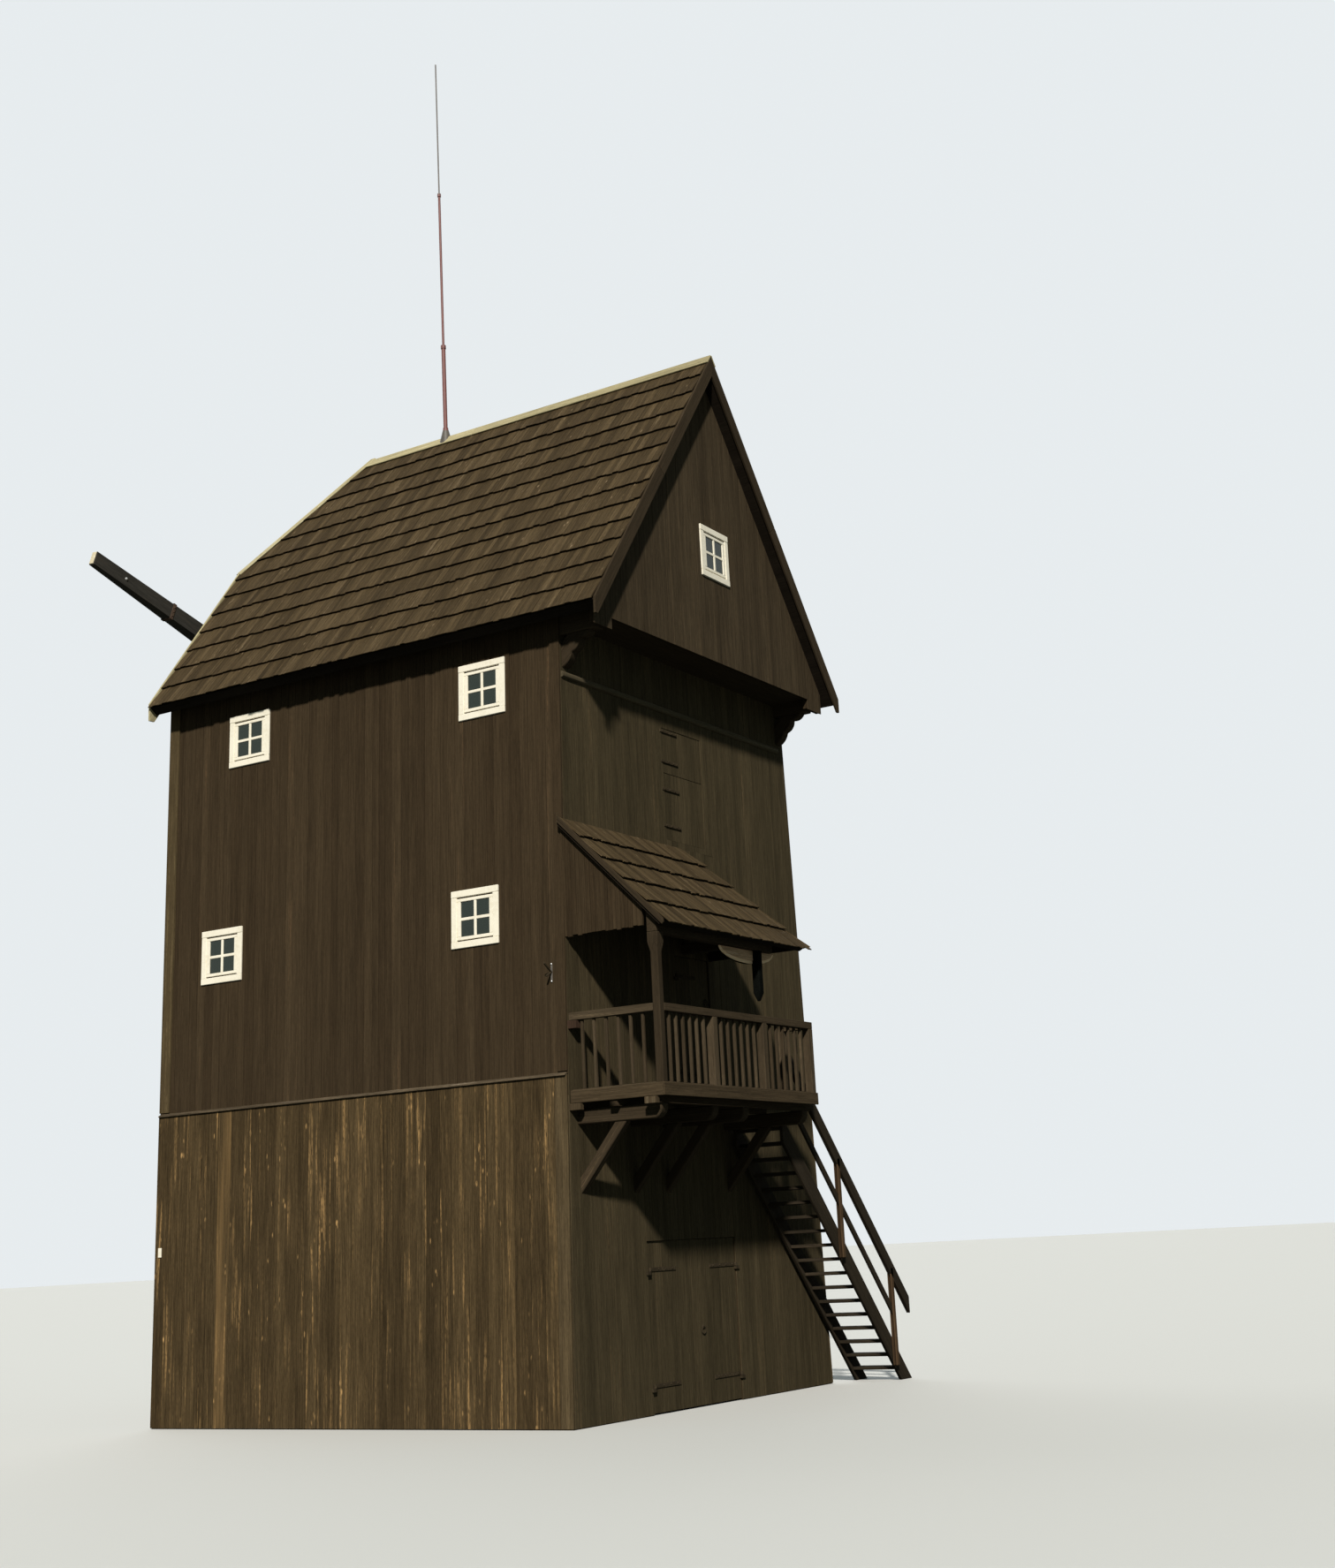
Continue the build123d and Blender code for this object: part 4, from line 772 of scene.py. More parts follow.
saw_both_sides(tail, corner_point, corner_normal)
finish_piece(tail, "mill", "dark_boards")

# %% Sail wall
sail_place = facing((0, sail_y, 0), (0, 1, 0))
joints = board_joints(-outer_edge, outer_edge, tail_board, (), random.Random(6))
bars = wall_boards(joints, board_foot, attic_z)
front = lay(board_block, bars, "sail_wall_boards", dark_wood, sail_place, 42, lift=board_lift)
saw_both_sides(front, corner_point, corner_normal)
finish_piece(front, "mill", "dark_boards")

# %% [markdown]
# ## Gables
# The tail gable hangs out over the wall on the wall plates, and its outer boards reach down over them.
# Both gables are sawn off along the underside of the roof.

# %% Tail gable
gable_low, gable_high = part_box("rear_gable_wall")
gable_window_x = 0.07
gable_window_z = attic_z + 1.35
tab_edge = gable_high.x - 0.36
gable_overlap = 0.015
hole = around(gable_window_x, gable_window_z, casing_lap)
fixed = (-tab_edge, tab_edge, *hole[:2])
joints = board_joints(gable_low.x, gable_high.x, narrow_board, fixed, random.Random(7))
middle = [place for place in joints if -tab_edge <= place <= tab_edge]
left_tab = [place for place in joints if place <= -tab_edge]
right_tab = [place for place in joints if place >= tab_edge]
bars = wall_boards(middle, attic_z - gable_overlap, ridge_z, [hole])
bars += wall_boards(left_tab, gable_low.z - gable_overlap, ridge_z)
bars += wall_boards(right_tab, gable_low.z - gable_overlap, ridge_z)
gable_place = facing((0, gable_low.y, 0), (0, -1, 0))
gable = lay(board_block, bars, "tail_gable_boards", gable_wood, gable_place, 43, lift=board_lift)
saw_both_sides(gable, (0, 0, under_roof(0)), roof_outward(1))
finish_piece(gable, "mill", "dark_boards")

# %% Sail gable
sail_gable_low, sail_gable_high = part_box("front_gable_wall")
sail_gable_drop = 0.03
shaft_opening = 0.27
shaft_z = 9.5
hip_rise = 1.65
hip_run = 1.24
hip_slope = math.atan(hip_rise / hip_run)
hip_normal = Vector((0, math.sin(hip_slope), math.cos(hip_slope)))
ridge_end = Vector((0, hip_eave_y - hip_run, ridge_z))
hole = around(0, shaft_z, shaft_opening)
joints = board_joints(sail_gable_low.x, sail_gable_high.x, narrow_board, hole[:2], random.Random(8))
bars = wall_boards(joints, attic_z - sail_gable_drop, ridge_z, [hole], stand=2 * board_stand)
front_gable = lay(board_block, bars, "sail_gable_boards", dark_wood, sail_place, 44, lift=board_lift)
saw_both_sides(front_gable, (0, 0, under_roof(0)), roof_outward(1))
saw(front_gable, ridge_end - hip_normal * roof_thickness, hip_normal)
finish_piece(front_gable, "mill", "dark_boards")

# %% [markdown]
# ## Roof shingles
# The roofs are covered with rough board shingles in courses. Each shingle lies with its head on the
# roof and its foot on the course below, so it slants a little, and no two feet end at quite the same
# height. That ragged shadow line is what shows from below. Each slope is laid as a rectangle and then
# sawn along its hip.

# %% Courses of shingles
shingle_thickness = 0.010
shingle_slant = 0.034
shingle_lap = 0.07
shingle_width = 0.085
shingle_gap = 0.002
foot_wobble = 0.012
face_lift = 0.002


def shingles(name, left, right, length, courses, place, seed, overhang=0.02):
    """Courses of shingles over a slope from its eave up, with X from left to right."""
    chance = random.Random(seed)
    exposure = (length + overhang) / courses
    bars = []
    for course in range(courses):
        foot = course * exposure - overhang
        head = min(foot + exposure + shingle_lap, length)
        joints = board_joints(left, right, shingle_width, (), chance)
        bars += boards_between(joints, shingle_gap, 0, shingle_thickness, foot, head)
    loose = {"slant": shingle_slant, "wobble": foot_wobble, "lift": face_lift}
    return lay(board_block, bars, name, shingle_wood, place, seed, **loose)


# %% Main roof
slope_length = (ridge_z - eave_z) / math.sin(roof_slope)
main_courses = 13
for side, name in sides:
    outward = roof_outward(side)
    place = facing((side * eave_x, 0, eave_z), outward, roof_up(side))
    ends = sorted((side * verge_y, side * hip_eave_y))
    roof = shingles(name + "_roof_shingles", *ends, slope_length, main_courses, place, 50 + side)
    saw(roof, ridge_end, hip_normal - outward)
    finish_piece(roof, "mill", "shingles")

# %% Half hip over the sails
hip_courses = 5
hip_length = math.hypot(hip_rise, hip_run)
hip_half = (ridge_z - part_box("roof_hip")[0].z) / math.tan(roof_slope) + 0.05
hip_up = Vector((0, -math.cos(hip_slope), math.sin(hip_slope)))
hip_place = facing(ridge_end - hip_up * hip_length, hip_normal, hip_up)
hip = shingles("hip_shingles", -hip_half, hip_half, hip_length, hip_courses, hip_place, 53)
saw_both_sides(hip, ridge_end, roof_outward(1) - hip_normal)
finish_piece(hip, "mill", "shingles")

# %% Porch roof
porch_low, porch_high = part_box("porch_roof_front")
porch_right_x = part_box("porch_roof_side")[1].x
porch_apex = Vector((-0.19, tail_y, porch_high.z))
porch_eave_z = entrance_z + 1.67
porch_rise = porch_high.z - porch_eave_z
porch_slope = math.atan(porch_rise / (tail_y - porch_low.y))
porch_normal = Vector((0, -math.sin(porch_slope), math.cos(porch_slope)))
porch_up = Vector((0, math.cos(porch_slope), math.sin(porch_slope)))
porch_length = porch_rise / math.sin(porch_slope)
side_slope = math.atan(porch_rise / (porch_right_x - porch_apex.x))
side_normal = Vector((math.sin(side_slope), 0, math.cos(side_slope)))
side_up = Vector((-math.cos(side_slope), 0, math.sin(side_slope)))
side_length = porch_rise / math.sin(side_slope)
porch_courses = 5
porch_overhang = 0.085
side_overrun = 0.06
place = facing((0, porch_low.y, porch_eave_z), porch_normal, porch_up)
ends = (porch_low.x, porch_right_x)
porch = shingles("porch_front_shingles", *ends, porch_length, porch_courses, place, 54, porch_overhang)
saw(porch, porch_apex, side_normal - porch_normal)
finish_piece(porch, "mill", "shingles")
place = facing((porch_right_x, 0, porch_eave_z), side_normal, side_up)
ends = (porch_low.y - side_overrun, tail_y)
porch_side = shingles("porch_side_shingles", *ends, side_length, porch_courses, place, 55)
saw(porch_side, porch_apex, porch_normal - side_normal)
finish_piece(porch_side, "mill", "shingles")

# %% [markdown]
# ## Edges of the roof
# Two weathered boards cover the ridge over the last courses, more of them cover the edges of the half
# hip, and a verge board closes each open edge of the slopes. The boards are laid in lengths along the
# slopes and sawn upright where the slopes meet. Those of the ridge, the hip and the sail end lie in
# full sun and have bleached to a pale olive.

# %% Ridge boards
ridge_width = 0.11
ridge_thickness = 0.02
ridge_lengths = 3
ridge_stand = 0.026
ridge_past_verge = 0.03
ridge_past_hip = 0.05
ridge_fold = 0.04
end_gap = 0.004
step = (ridge_end.y + ridge_past_hip - verge_y) / ridge_lengths
for side, name in sides:
    place = facing((0, verge_y - ridge_past_verge, ridge_z), roof_outward(side), (0, 1, 0))
    edges = sorted((-ridge_fold * side, ridge_width * side))
    bars = [
        (*edges, ridge_stand, ridge_stand + ridge_thickness, count * step, (count + 1) * step - end_gap)
        for count in range(ridge_lengths)
    ]
    boards = lay(bar_block, bars, name + "_ridge_boards", ridge_wood, place, 60 + side)
    saw(boards, (0, 0, 0), (-side, 0, 0))
    finish_piece(boards, "mill", "timber", "ridge_boards")

# %% Hip boards
hip_board_width = 0.11
hip_edge_width = 0.045
hip_board_top = 0.048
hip_board_thickness = 0.018
hip_fold = 0.06
hip_past_foot = 0.02
hip_past_ridge = 0.10
for side, name in sides:
    slope_outward = roof_outward(side)
    hip_line = hip_normal.cross(slope_outward) * side
    hip_line = hip_line if hip_line.z > 0 else -hip_line
    run = hip_rise / hip_line.normalized().z
    for outward, other, inside, width, label in (
        (slope_outward, hip_normal, Vector((0, -1, 0)), hip_edge_width, "edge"),
        (hip_normal, slope_outward, Vector((-side, 0, 0)), hip_board_width, "board"),
    ):
        place = facing(ridge_end, outward, hip_line)
        across = place.to_3x3() @ Vector((1, 0, 0))
        sign = 1 if across.dot(inside) > 0 else -1
        edges = sorted((-hip_fold * sign, width * sign))
        low_face = hip_board_top - hip_board_thickness
        bars = [(*edges, low_face, hip_board_top, -run - hip_past_foot, hip_past_ridge)]
        board = lay(bar_block, bars, name + "_hip_" + label, ridge_wood, place, 76 + side)
        saw(board, ridge_end, other - outward)
        saw(board, (0, 0, 0), (-side, 0, 0))
        finish_piece(board, "mill", "timber")

# %% Verge boards of the tail gable
verge_depth = 0.13
verge_thickness = 0.028
verge_top = 0.024
verge_foot = eave_z - 0.155
verge_gap = 0.003
half = slope_length * 0.52
for side, name in sides:
    place = facing((side * eave_x, verge_y, eave_z), (0, -1, 0), roof_up(side))
    edges = sorted((side * verge_top, -side * verge_depth))
    bars = [
        (*edges, 0, verge_thickness, -verge_depth * 1.4, half - verge_gap),
        (*edges, 0, verge_thickness, half, slope_length + verge_depth),
    ]
    verge = lay(bar_block, bars, name + "_verge_board", timber_wood, place, 64 + side)
    saw(verge, (side * (eave_x + 0.004), 0, 0), (side, 0, 0))
    saw(verge, (side * 0.001, 0, 0), (-side, 0, 0))
    saw(verge, (0, 0, verge_foot), (0, 0, -1))
    finish_piece(verge, "mill", "timber", "verge_boards")

# %% Verge boards of the sail end, up to the hip
sail_verge_depth = 0.15
sail_verge_top = 0.045
sail_verge_foot = eave_z - 0.16
corner_run = (ridge_end.z - hip_rise - eave_z) / math.sin(roof_slope)
for side, name in sides:
    place = facing((side * eave_x, hip_eave_y, eave_z), (0, 1, 0), roof_up(side))
    edges = sorted((-side * sail_verge_top, side * sail_verge_depth))
    bars = [(*edges, 0, verge_thickness, -sail_verge_depth, corner_run + 0.06)]
    verge = lay(bar_block, bars, name + "_sail_verge", ridge_wood, place, 88 + side)
    saw(verge, (side * (eave_x + 0.012), 0, 0), (side, 0, 0))
    saw(verge, (0, 0, sail_verge_foot), (0, 0, -1))
    saw(verge, ridge_end + hip_normal * (ridge_stand + ridge_thickness), hip_normal)
    finish_piece(verge, "mill", "timber")

# %% Barge board and cheek of the porch
porch_thickness = 0.06
barge_depth = 0.035
barge_top = 0.022
barge_thickness = 0.020
place = facing((porch_low.x, porch_low.y, porch_eave_z), (-1, 0, 0), porch_up)
bars = [(-barge_depth, barge_top, 0, barge_thickness, -barge_depth, porch_length + barge_depth)]
barge = lay(bar_block, bars, "porch_barge_board", timber_wood, place, 66)
saw(barge, (0, tail_y - board_stand, 0), (0, 1, 0))
saw(barge, (0, porch_low.y - 0.02, 0), (0, -1, 0))
finish_piece(barge, "mill", "timber")
cheek_low, cheek_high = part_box("porch_cheek")
cheek_board = 0.055
cheek_back = -0.024
cheek_front = 0.003
cheek_drop = 0.02
joints = board_joints(-cheek_high.y, -cheek_low.y, cheek_board, (), random.Random(67))
bars = boards_between(joints, board_gap, cheek_back, cheek_front, cheek_low.z - cheek_drop, porch_top_z)
place = facing((cheek_low.x, 0, 0), (-1, 0, 0))
cheek = lay(board_block, bars, "porch_cheek_boards", dark_wood, place, 67, wobble=0.010, lift=board_lift)
under_porch = Vector((0, porch_low.y, porch_eave_z)) - porch_normal * porch_thickness
saw(cheek, under_porch, porch_normal)
finish_piece(cheek, "mill", "dark_boards", "porch_cheek")

# %% [markdown]
# ## Corner boards
# The long walls end in upright boards over the joint with the end walls. At the sail end that board was
# never stained as dark as the rest, and a small cream plate sits beside it on the skirt.

# %% Corner boards
near_corner_board = 0.11
far_corner_board = 0.15
corner_stand = board_stand + 0.016
plate_width = 0.05
plate_height = 0.11
plate_edge = 0.05 - sail_y
plate_z = 1.93
corner_foot = (skirt_top + 0.05) * lean_run
ends = ((tail_y, near_corner_board, dark_wood, "tail"), (sail_y, far_corner_board, tan_wood, "sail"))
for side, name in sides:
    place = long_wall_place(side)
    for end_y, width, material, end_name in ends:
        inwards = -math.copysign(1, end_y)
        edges = sorted((side * (end_y - inwards * corner_lap), side * (end_y + inwards * width)))
        bars = [(*edges, board_stand, corner_stand, corner_foot, board_head)]
        corner = lay(board_block, bars, name + "_" + end_name + "_corner_board", material, place, 68 + side)
        finish_piece(corner, "mill", "dark_boards")
bars = [(plate_edge, plate_edge + plate_width, board_stand, corner_stand, plate_z, plate_z + plate_height)]
plate = lay(bar_block, bars, "corner_plate", cream_paint, long_wall_place(-1, skirt_proud), 69)
finish_piece(plate, "mill", "white_paint")

# %% [markdown]
# ## Windows
# Each window has a cream casing of four boards on the wall, and in it a sash with a cross of thin bars
# over the glass. Tenons reach back from the sash into the hole of the wall. The sash is a little lower
# than its casing, so a gap shows over it and under it, and each gap is backed by a dark strip painted
# as shade. One layout of bars on the window's own face serves all nine.

# %% Window casings and sashes
casing_edge = casing_size / 2
hole_edge = window_hole / 2
pane_edge = 0.198
casing_front = 0.036
sash_edge = 0.250
sash_gap = 0.016
sash_back = -0.05
sash_front = 0.026
bar_half = 0.017
bar_back = -0.01
bar_drop = 0.003
cross_drop = 0.005
tenon_front = 0.001
pane_front = 0.012
pane_back = 0.006


def square_frame(outer, inner, end, back, front, side_front):
    """Head, foot and two sides of a frame about its middle, with its ends above and below."""
    return [
        (-outer, outer, back, front, inner, end),
        (-outer, outer, back, front, -end, -inner),
        (-outer, -inner, back, side_front, -inner, inner),
        (inner, outer, back, side_front, -inner, inner),
    ]


sash_end = sash_edge - sash_gap
window_bars = [
    *square_frame(casing_edge, sash_edge, casing_edge, 0, casing_front, casing_front - bar_drop),
    *square_frame(sash_edge, pane_edge, sash_end, 0, sash_front, sash_front),
    *square_frame(hole_edge, pane_edge, hole_edge, sash_back, tenon_front, tenon_front),
    (-bar_half, bar_half, bar_back, sash_front - bar_drop, -pane_edge, pane_edge),
    (-pane_edge, pane_edge, bar_back, sash_front - cross_drop, -bar_half, bar_half),
]
print("bars of a window:", len(window_bars))

# %% The nine windows
window_places = [
    long_wall_place(side) @ Matrix.Translation((side * y, 0, z * lean_run))
    for side in (-1, 1)
    for y, z in long_windows
]
window_places.append(gable_place @ Matrix.Translation((gable_window_x, 0, gable_window_z)))
windows = [
    lay(bar_block, window_bars, "window", cream_paint, place, 70 + count)
    for count, place in enumerate(window_places)
]
finish_piece(joined(windows, "window_casings", cream_paint), "mill", "white_paint", "window_frames")

# %% Panes, and dark strips of painted shade in the gaps over and under each sash
pane_reach = pane_edge + 0.002
gap_front = sash_front - 0.014
pane_bar = (-pane_reach, pane_reach, pane_back, pane_front, -pane_reach, pane_reach)
shade_strip_bars = [
    (-sash_edge, sash_edge, 0, gap_front, sash_end, sash_edge),
    (-sash_edge, sash_edge, 0, gap_front, -sash_edge, -sash_end),
]
panes = []
gaps = []
for count, place in enumerate(window_places):
    panes.append(lay(bar_block, [pane_bar], "pane", glass, place, 130 + count))
    gaps.append(lay(bar_block, shade_strip_bars, "gap", painted_shade_wood, place, 140 + count))
finish_piece(joined(panes, "window_panes", glass), "mill", "glass", "window_glass")
finish_piece(joined(gaps, "sash_painted_shade_strips", painted_shade_wood), "mill", "timber")

# %% [markdown]
# ## Doors, hatch and ironwork
# The leaves are upright boards between the same faces as the frame's leaves, held by ledges on the
# inside. The iron straps lie on them, with studs. Each leaf and its irons ride on the body that its
# hinges turn.

# %% Door leaves
door_board = 0.155
leaf_board_gap = 0.003
ledge_height = 0.11
ledge_thickness = 0.028
ledge_inset = 0.07
ledge_sink = 0.002


def boarded_leaf(node, body, ledges, seed):
    """Upright boards that fill a leaf, with ledges behind them."""
    low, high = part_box(node)
    back = low.y - high.y
    joints = board_joints(low.x, high.x, door_board, (), random.Random(seed))
    bars = boards_between(joints, leaf_board_gap, back, 0, low.z, high.z)
    bars += [
        (low.x + ledge_inset, high.x - ledge_inset, back - ledge_thickness, back + ledge_sink,
         z - ledge_height / 2, z + ledge_height / 2)
        for z in ledges
    ]
    place = facing((0, low.y, 0), (0, -1, 0))
    leaf = lay(board_block, bars, node + "_boards", tail_wood, place, seed)
    return finish_piece(leaf, body, "door_boards", node)


ground_ledges = (0.30, 1.525)
porch_ledges = (entrance_z + 0.30, entrance_z + 1.42)
boarded_leaf("ground_door_left", "ground_door_left", ground_ledges, 81)
boarded_leaf("ground_door_right", "ground_door_right", ground_ledges, 82)
boarded_leaf("porch_door", "porch_door", porch_ledges, 83)

# %% Hatch leaves
hatch_meeting_z = 7.23
hatch_back = hatch_low.y - hatch_high.y
hatch_front = 0.007
hatch_gap = 0.004
joints = board_joints(hatch_low.x, hatch_high.x, door_board, (), random.Random(84))
bars = []
for low, high in ((hatch_low.z, hatch_meeting_z), (hatch_meeting_z, hatch_high.z)):
    ends = (low + hatch_gap, high - hatch_gap)
    bars += boards_between(joints, leaf_board_gap, hatch_back, hatch_front, *ends)
hatch = lay(board_block, bars, "hatch_boards", tail_wood, tail_place, 84)
finish_piece(hatch, "mill", "door_boards", "hatch_leaves")


# %% Studs
def stud(radius, height):
    """A round-headed stud with its head towards -Y."""
    deselect_all()
    bpy.ops.mesh.primitive_uv_sphere_add(segments=12, ring_count=8, radius=radius)
    piece = bpy.context.object
    bpy.ops.object.mode_set(mode="EDIT")
    bpy.ops.mesh.select_all(action="SELECT")
    bpy.ops.transform.resize(value=(1, height / radius, 1))
    bpy.ops.mesh.bisect(plane_co=(0, 0.001, 0), plane_no=(0, 1, 0), use_fill=True, clear_outer=True)
    bpy.ops.object.mode_set(mode="OBJECT")
    return piece


def studs(name, points, outward, radius, height, material):
    """A stud at each point, its head turned outwards."""
    first = stud(radius, height)
    pieces = []
    for point in points:
        piece = first.copy()
        piece.data = first.data.copy()
        bpy.context.scene.collection.objects.link(piece)
        piece.data.transform(facing(point, outward))
        pieces.append(piece)
    bpy.data.objects.remove(first)
    return joined(pieces, name, material)


strap_thickness = 0.010
strap_stud = (0.011, 0.008)


def strap_studs(leaf_node, heights, pitch):
    """Studs along the straps of a leaf."""
    low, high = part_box(leaf_node + "_straps")
    count = max(2, round((high.x - low.x) / pitch))
    run = (high.x - low.x) / count
    face_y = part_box(leaf_node)[0].y - strap_thickness
    points = [(low.x + (step + 0.5) * run, face_y, z) for step in range(count) for z in heights]
    piece = studs(leaf_node + "_studs", points, (0, -1, 0), *strap_stud, iron)
    finish_piece(piece, leaf_node, "iron")


strap_studs("ground_door_left", ground_ledges, 0.14)
strap_studs("ground_door_right", ground_ledges, 0.14)
strap_studs("porch_door", porch_ledges, 0.12)

# %% Hatch straps
hatch_strap_heights = (0.17, 0.61, 0.95, 1.32)
hatch_strap_left = hatch_low.x - 0.045
hatch_strap_length = 0.38
hatch_stud_places = (0.05, 0.16, 0.27, 0.35)
hatch_stud = (0.010, 0.007)
strap_half = 0.018
strap_back = 0.004
strap_front = board_stand + 0.010
bars = [
    (hatch_strap_left, hatch_strap_left + hatch_strap_length, strap_back, strap_front,
     hatch_low.z + height - strap_half, hatch_low.z + height + strap_half)
    for height in hatch_strap_heights
]
hatch_irons = lay(bar_block, bars, "hatch_strap_irons", iron, tail_place, 85)
finish_piece(hatch_irons, "mill", "iron", "hatch_straps")
points = [
    (hatch_strap_left + place, tail_y - strap_front, hatch_low.z + height)
    for height in hatch_strap_heights
    for place in hatch_stud_places
]
finish_piece(studs("hatch_studs", points, (0, -1, 0), *hatch_stud, iron), "mill", "iron")


# %% Ring handles
ring_stand = 0.012
ring_hang = 0.035
ring_plate = (0.026, 0.016)


def ring_handle(name, x, z, face_y, body):
    """A ring on a round plate, hanging against a leaf."""
    deselect_all()
    bpy.ops.mesh.primitive_torus_add(
        location=(x, face_y - ring_stand, z - ring_hang), rotation=(math.pi / 2, 0, 0),
        major_radius=0.04, minor_radius=0.006, major_segments=28, minor_segments=8,
    )
    ring = bpy.context.object
    bpy.ops.object.transform_apply(location=True, rotation=True, scale=True)
    plate = studs(name + "_plate", [(x, face_y, z)], (0, -1, 0), *ring_plate, iron)
    finish_piece(joined([ring, plate], name, iron), body, "iron")


leaf_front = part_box("ground_door_left")[0].y
ring_handle("ground_door_handle", -0.19, 0.86, leaf_front, "ground_door_right")
ring_handle("porch_door_handle", 0.25, 4.57, leaf_front, "porch_door")

# %% [markdown]
# ## Small pieces on the walls
# A forged hook with two arms is bolted to the long wall through a worn plate. On the tail wall a short
# lug holds the end of the balcony's left rail, and a small pale timber lies over the porch door. Each
# is a bar or two, forged or sawn to length.

# %% Wall hook
hook_y = sum(corner.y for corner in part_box("wall_hook")) / 2
hook_z = 4.68
arm_half = 0.010
arm_ends = (((0.0, 0.0), (0.140, 0.095)), ((0.0, 0.01), (0.105, -0.045)))
hook_root = Vector((-body_half_width(hook_z) - board_stand, hook_y, hook_z))
arms = []
for start, end in arm_ends:
    along = Vector((start[0] - end[0], 0, end[1] - start[1]))
    place = facing(hook_root + Vector((-start[0], 0, start[1])), (0, -1, 0), along)
    bars = [(-arm_half, arm_half, -arm_half, arm_half, -arm_half, along.length)]
    arms.append(lay(bar_block, bars, "arm", iron, place, 86))
finish_piece(joined(arms, "hook_arms", iron), "mill", "iron", "wall_hook")

# %% Plate of the hook
hook_foot = hook_z - 0.105
hook_head = hook_z + 0.105
plate_half = 0.012
plate_front = board_stand + 0.008
bars = [(-hook_y - plate_half, -hook_y + plate_half, board_stand, plate_front, hook_foot, hook_head)]
plate = lay(bar_block, bars, "hook_plate", pale_iron, long_wall_place(-1), 86)
finish_piece(plate, "mill", "iron")
left_outward = Vector((-math.cos(lean), 0, math.sin(lean)))
points = [
    Vector((-body_half_width(z), hook_y, z)) + left_outward * plate_front
    for z in (hook_foot + plate_half, hook_head - plate_half)
]
finish_piece(studs("hook_studs", points, left_outward, *strap_stud, bolt_metal), "mill", "iron")

# %% Lug under the left rail and timber over the porch door
lug = (-2.665, -2.57, 0, 0.12, 4.06, 4.145)
lintel = (-0.12, 0.32, board_stand, 0.05, 5.14, 5.20)
# The lug is in the dark wood painted as shade, as dark as the rail's shadow round it.
finish_piece(lay(bar_block, [lug], "rail_lug", painted_shade_wood, tail_place, 151), "mill", "timber")
finish_piece(lay(bar_block, [lintel], "porch_lintel", moulding_wood, tail_place, 150), "mill", "timber")

# %% [markdown]
# ## Timbers of the frame
# Beams, brackets, struts, treads and the stock have the right shape already. A copy of each gets its
# doubled corners merged and its sharp edges bevelled, as weather does, and each of its separate timbers
# gets a grain along its own longest direction. The copy then stands for the node.

# %% Grain and soft edges
def separate_solids(mesh):
    """The corners of each solid of a mesh, as lists."""
    leader = list(range(len(mesh.vertices)))

    def follow(corner):
        while leader[corner] != corner:
            leader[corner] = leader[leader[corner]]
            corner = leader[corner]
        return corner

    for edge in mesh.edges:
        first, second = edge.vertices
        leader[follow(first)] = follow(second)
    groups = {}
    for corner in range(len(leader)):
        groups.setdefault(follow(corner), []).append(corner)
    return list(groups.values())


def give_grain(piece, seed):
    """Each solid of the piece gets a grain along its longest direction and a tone."""
    chance = random.Random(seed)
    mesh = piece.data
    points = np.array([vert.co for vert in mesh.vertices])
    grain = np.zeros_like(points)
    tone = np.zeros(len(points))
    for corners in separate_solids(mesh):
        centred = points[corners] - points[corners].mean(0)
        along, across, through = np.linalg.svd(centred, full_matrices=False)[2]
        local = centred @ np.array((across, through, along)).T
        grain[corners] = local + np.array([chance.uniform(0, 40) for _ in range(3)])
        tone[corners] = chance.random()
    mesh.attributes.new("grain", "FLOAT_VECTOR", "POINT")
    mesh.attributes.new("tone", "FLOAT", "POINT")
    mesh.attributes["grain"].data.foreach_set("vector", grain.astype(np.float32).ravel())
    mesh.attributes["tone"].data.foreach_set("value", tone.astype(np.float32))


def apply_bevel(piece, width):
    """Bevel the sharp edges of a piece and apply it."""
    make_active(piece)
    bevel = piece.modifiers.new("bevel", "BEVEL")
    bevel.width = width
    bevel.segments = 1
    bevel.limit_method = "ANGLE"
    bevel.angle_limit = math.radians(40)
    bpy.ops.object.modifier_apply(modifier=bevel.name)


def soften(node, material, width, seed, body="mill", slot="timber"):
    """A copy of a node with worn edges, which stands for it."""
    piece = bpy.data.objects.new(node + "_timber", nodes[node].data.copy())
    bpy.context.scene.collection.objects.link(piece)
    piece.data.materials.clear()
    piece.data.materials.append(material)
    make_active(piece)
    bpy.ops.mesh.customdata_custom_splitnormals_clear()
    bpy.ops.object.mode_set(mode="EDIT")
    bpy.ops.mesh.select_all(action="SELECT")
    bpy.ops.mesh.remove_doubles(threshold=0.0003)
    bpy.ops.mesh.dissolve_limited(angle_limit=math.radians(0.5))
    bpy.ops.object.mode_set(mode="OBJECT")
    apply_bevel(piece, width)
    bpy.ops.object.shade_smooth_by_angle(angle=math.radians(25))
    give_grain(piece, seed)
    return finish_piece(piece, body, slot, node)


# %% Soften the timbers
fixed_timbers = (
    ("wall_plates", timber_wood, 0.008, 90),
    ("gable_brackets", timber_wood, 0.008, 91),
    ("jetty_floor", timber_wood, 0.004, 92),
    ("balcony_beams", timber_wood, 0.010, 93),
    ("balcony_struts", timber_wood, 0.008, 94),
    ("porch_plates", timber_wood, 0.008, 95),
    ("porch_post", timber_wood, 0.008, 96),
    ("shaft_beams", timber_wood, 0.010, 97),
    ("balcony_joists", timber_wood, 0.006, 96),
    ("moulding_strip", moulding_wood, 0.004, 107),
    ("porch_pendant", pendant_painted_shade, 0.006, 108),
    ("stair_stringers", stair_wood, 0.006, 109),
    ("stair_treads", stair_wood, 0.006, 111),
    ("drip_boards", drip_wood, 0.004, 110),
)
softened = {row[0]: soften(*row) for row in fixed_timbers}
saw(softened["balcony_joists"], (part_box("balcony_floor")[0].x, 0, 0), (-1, 0, 0))
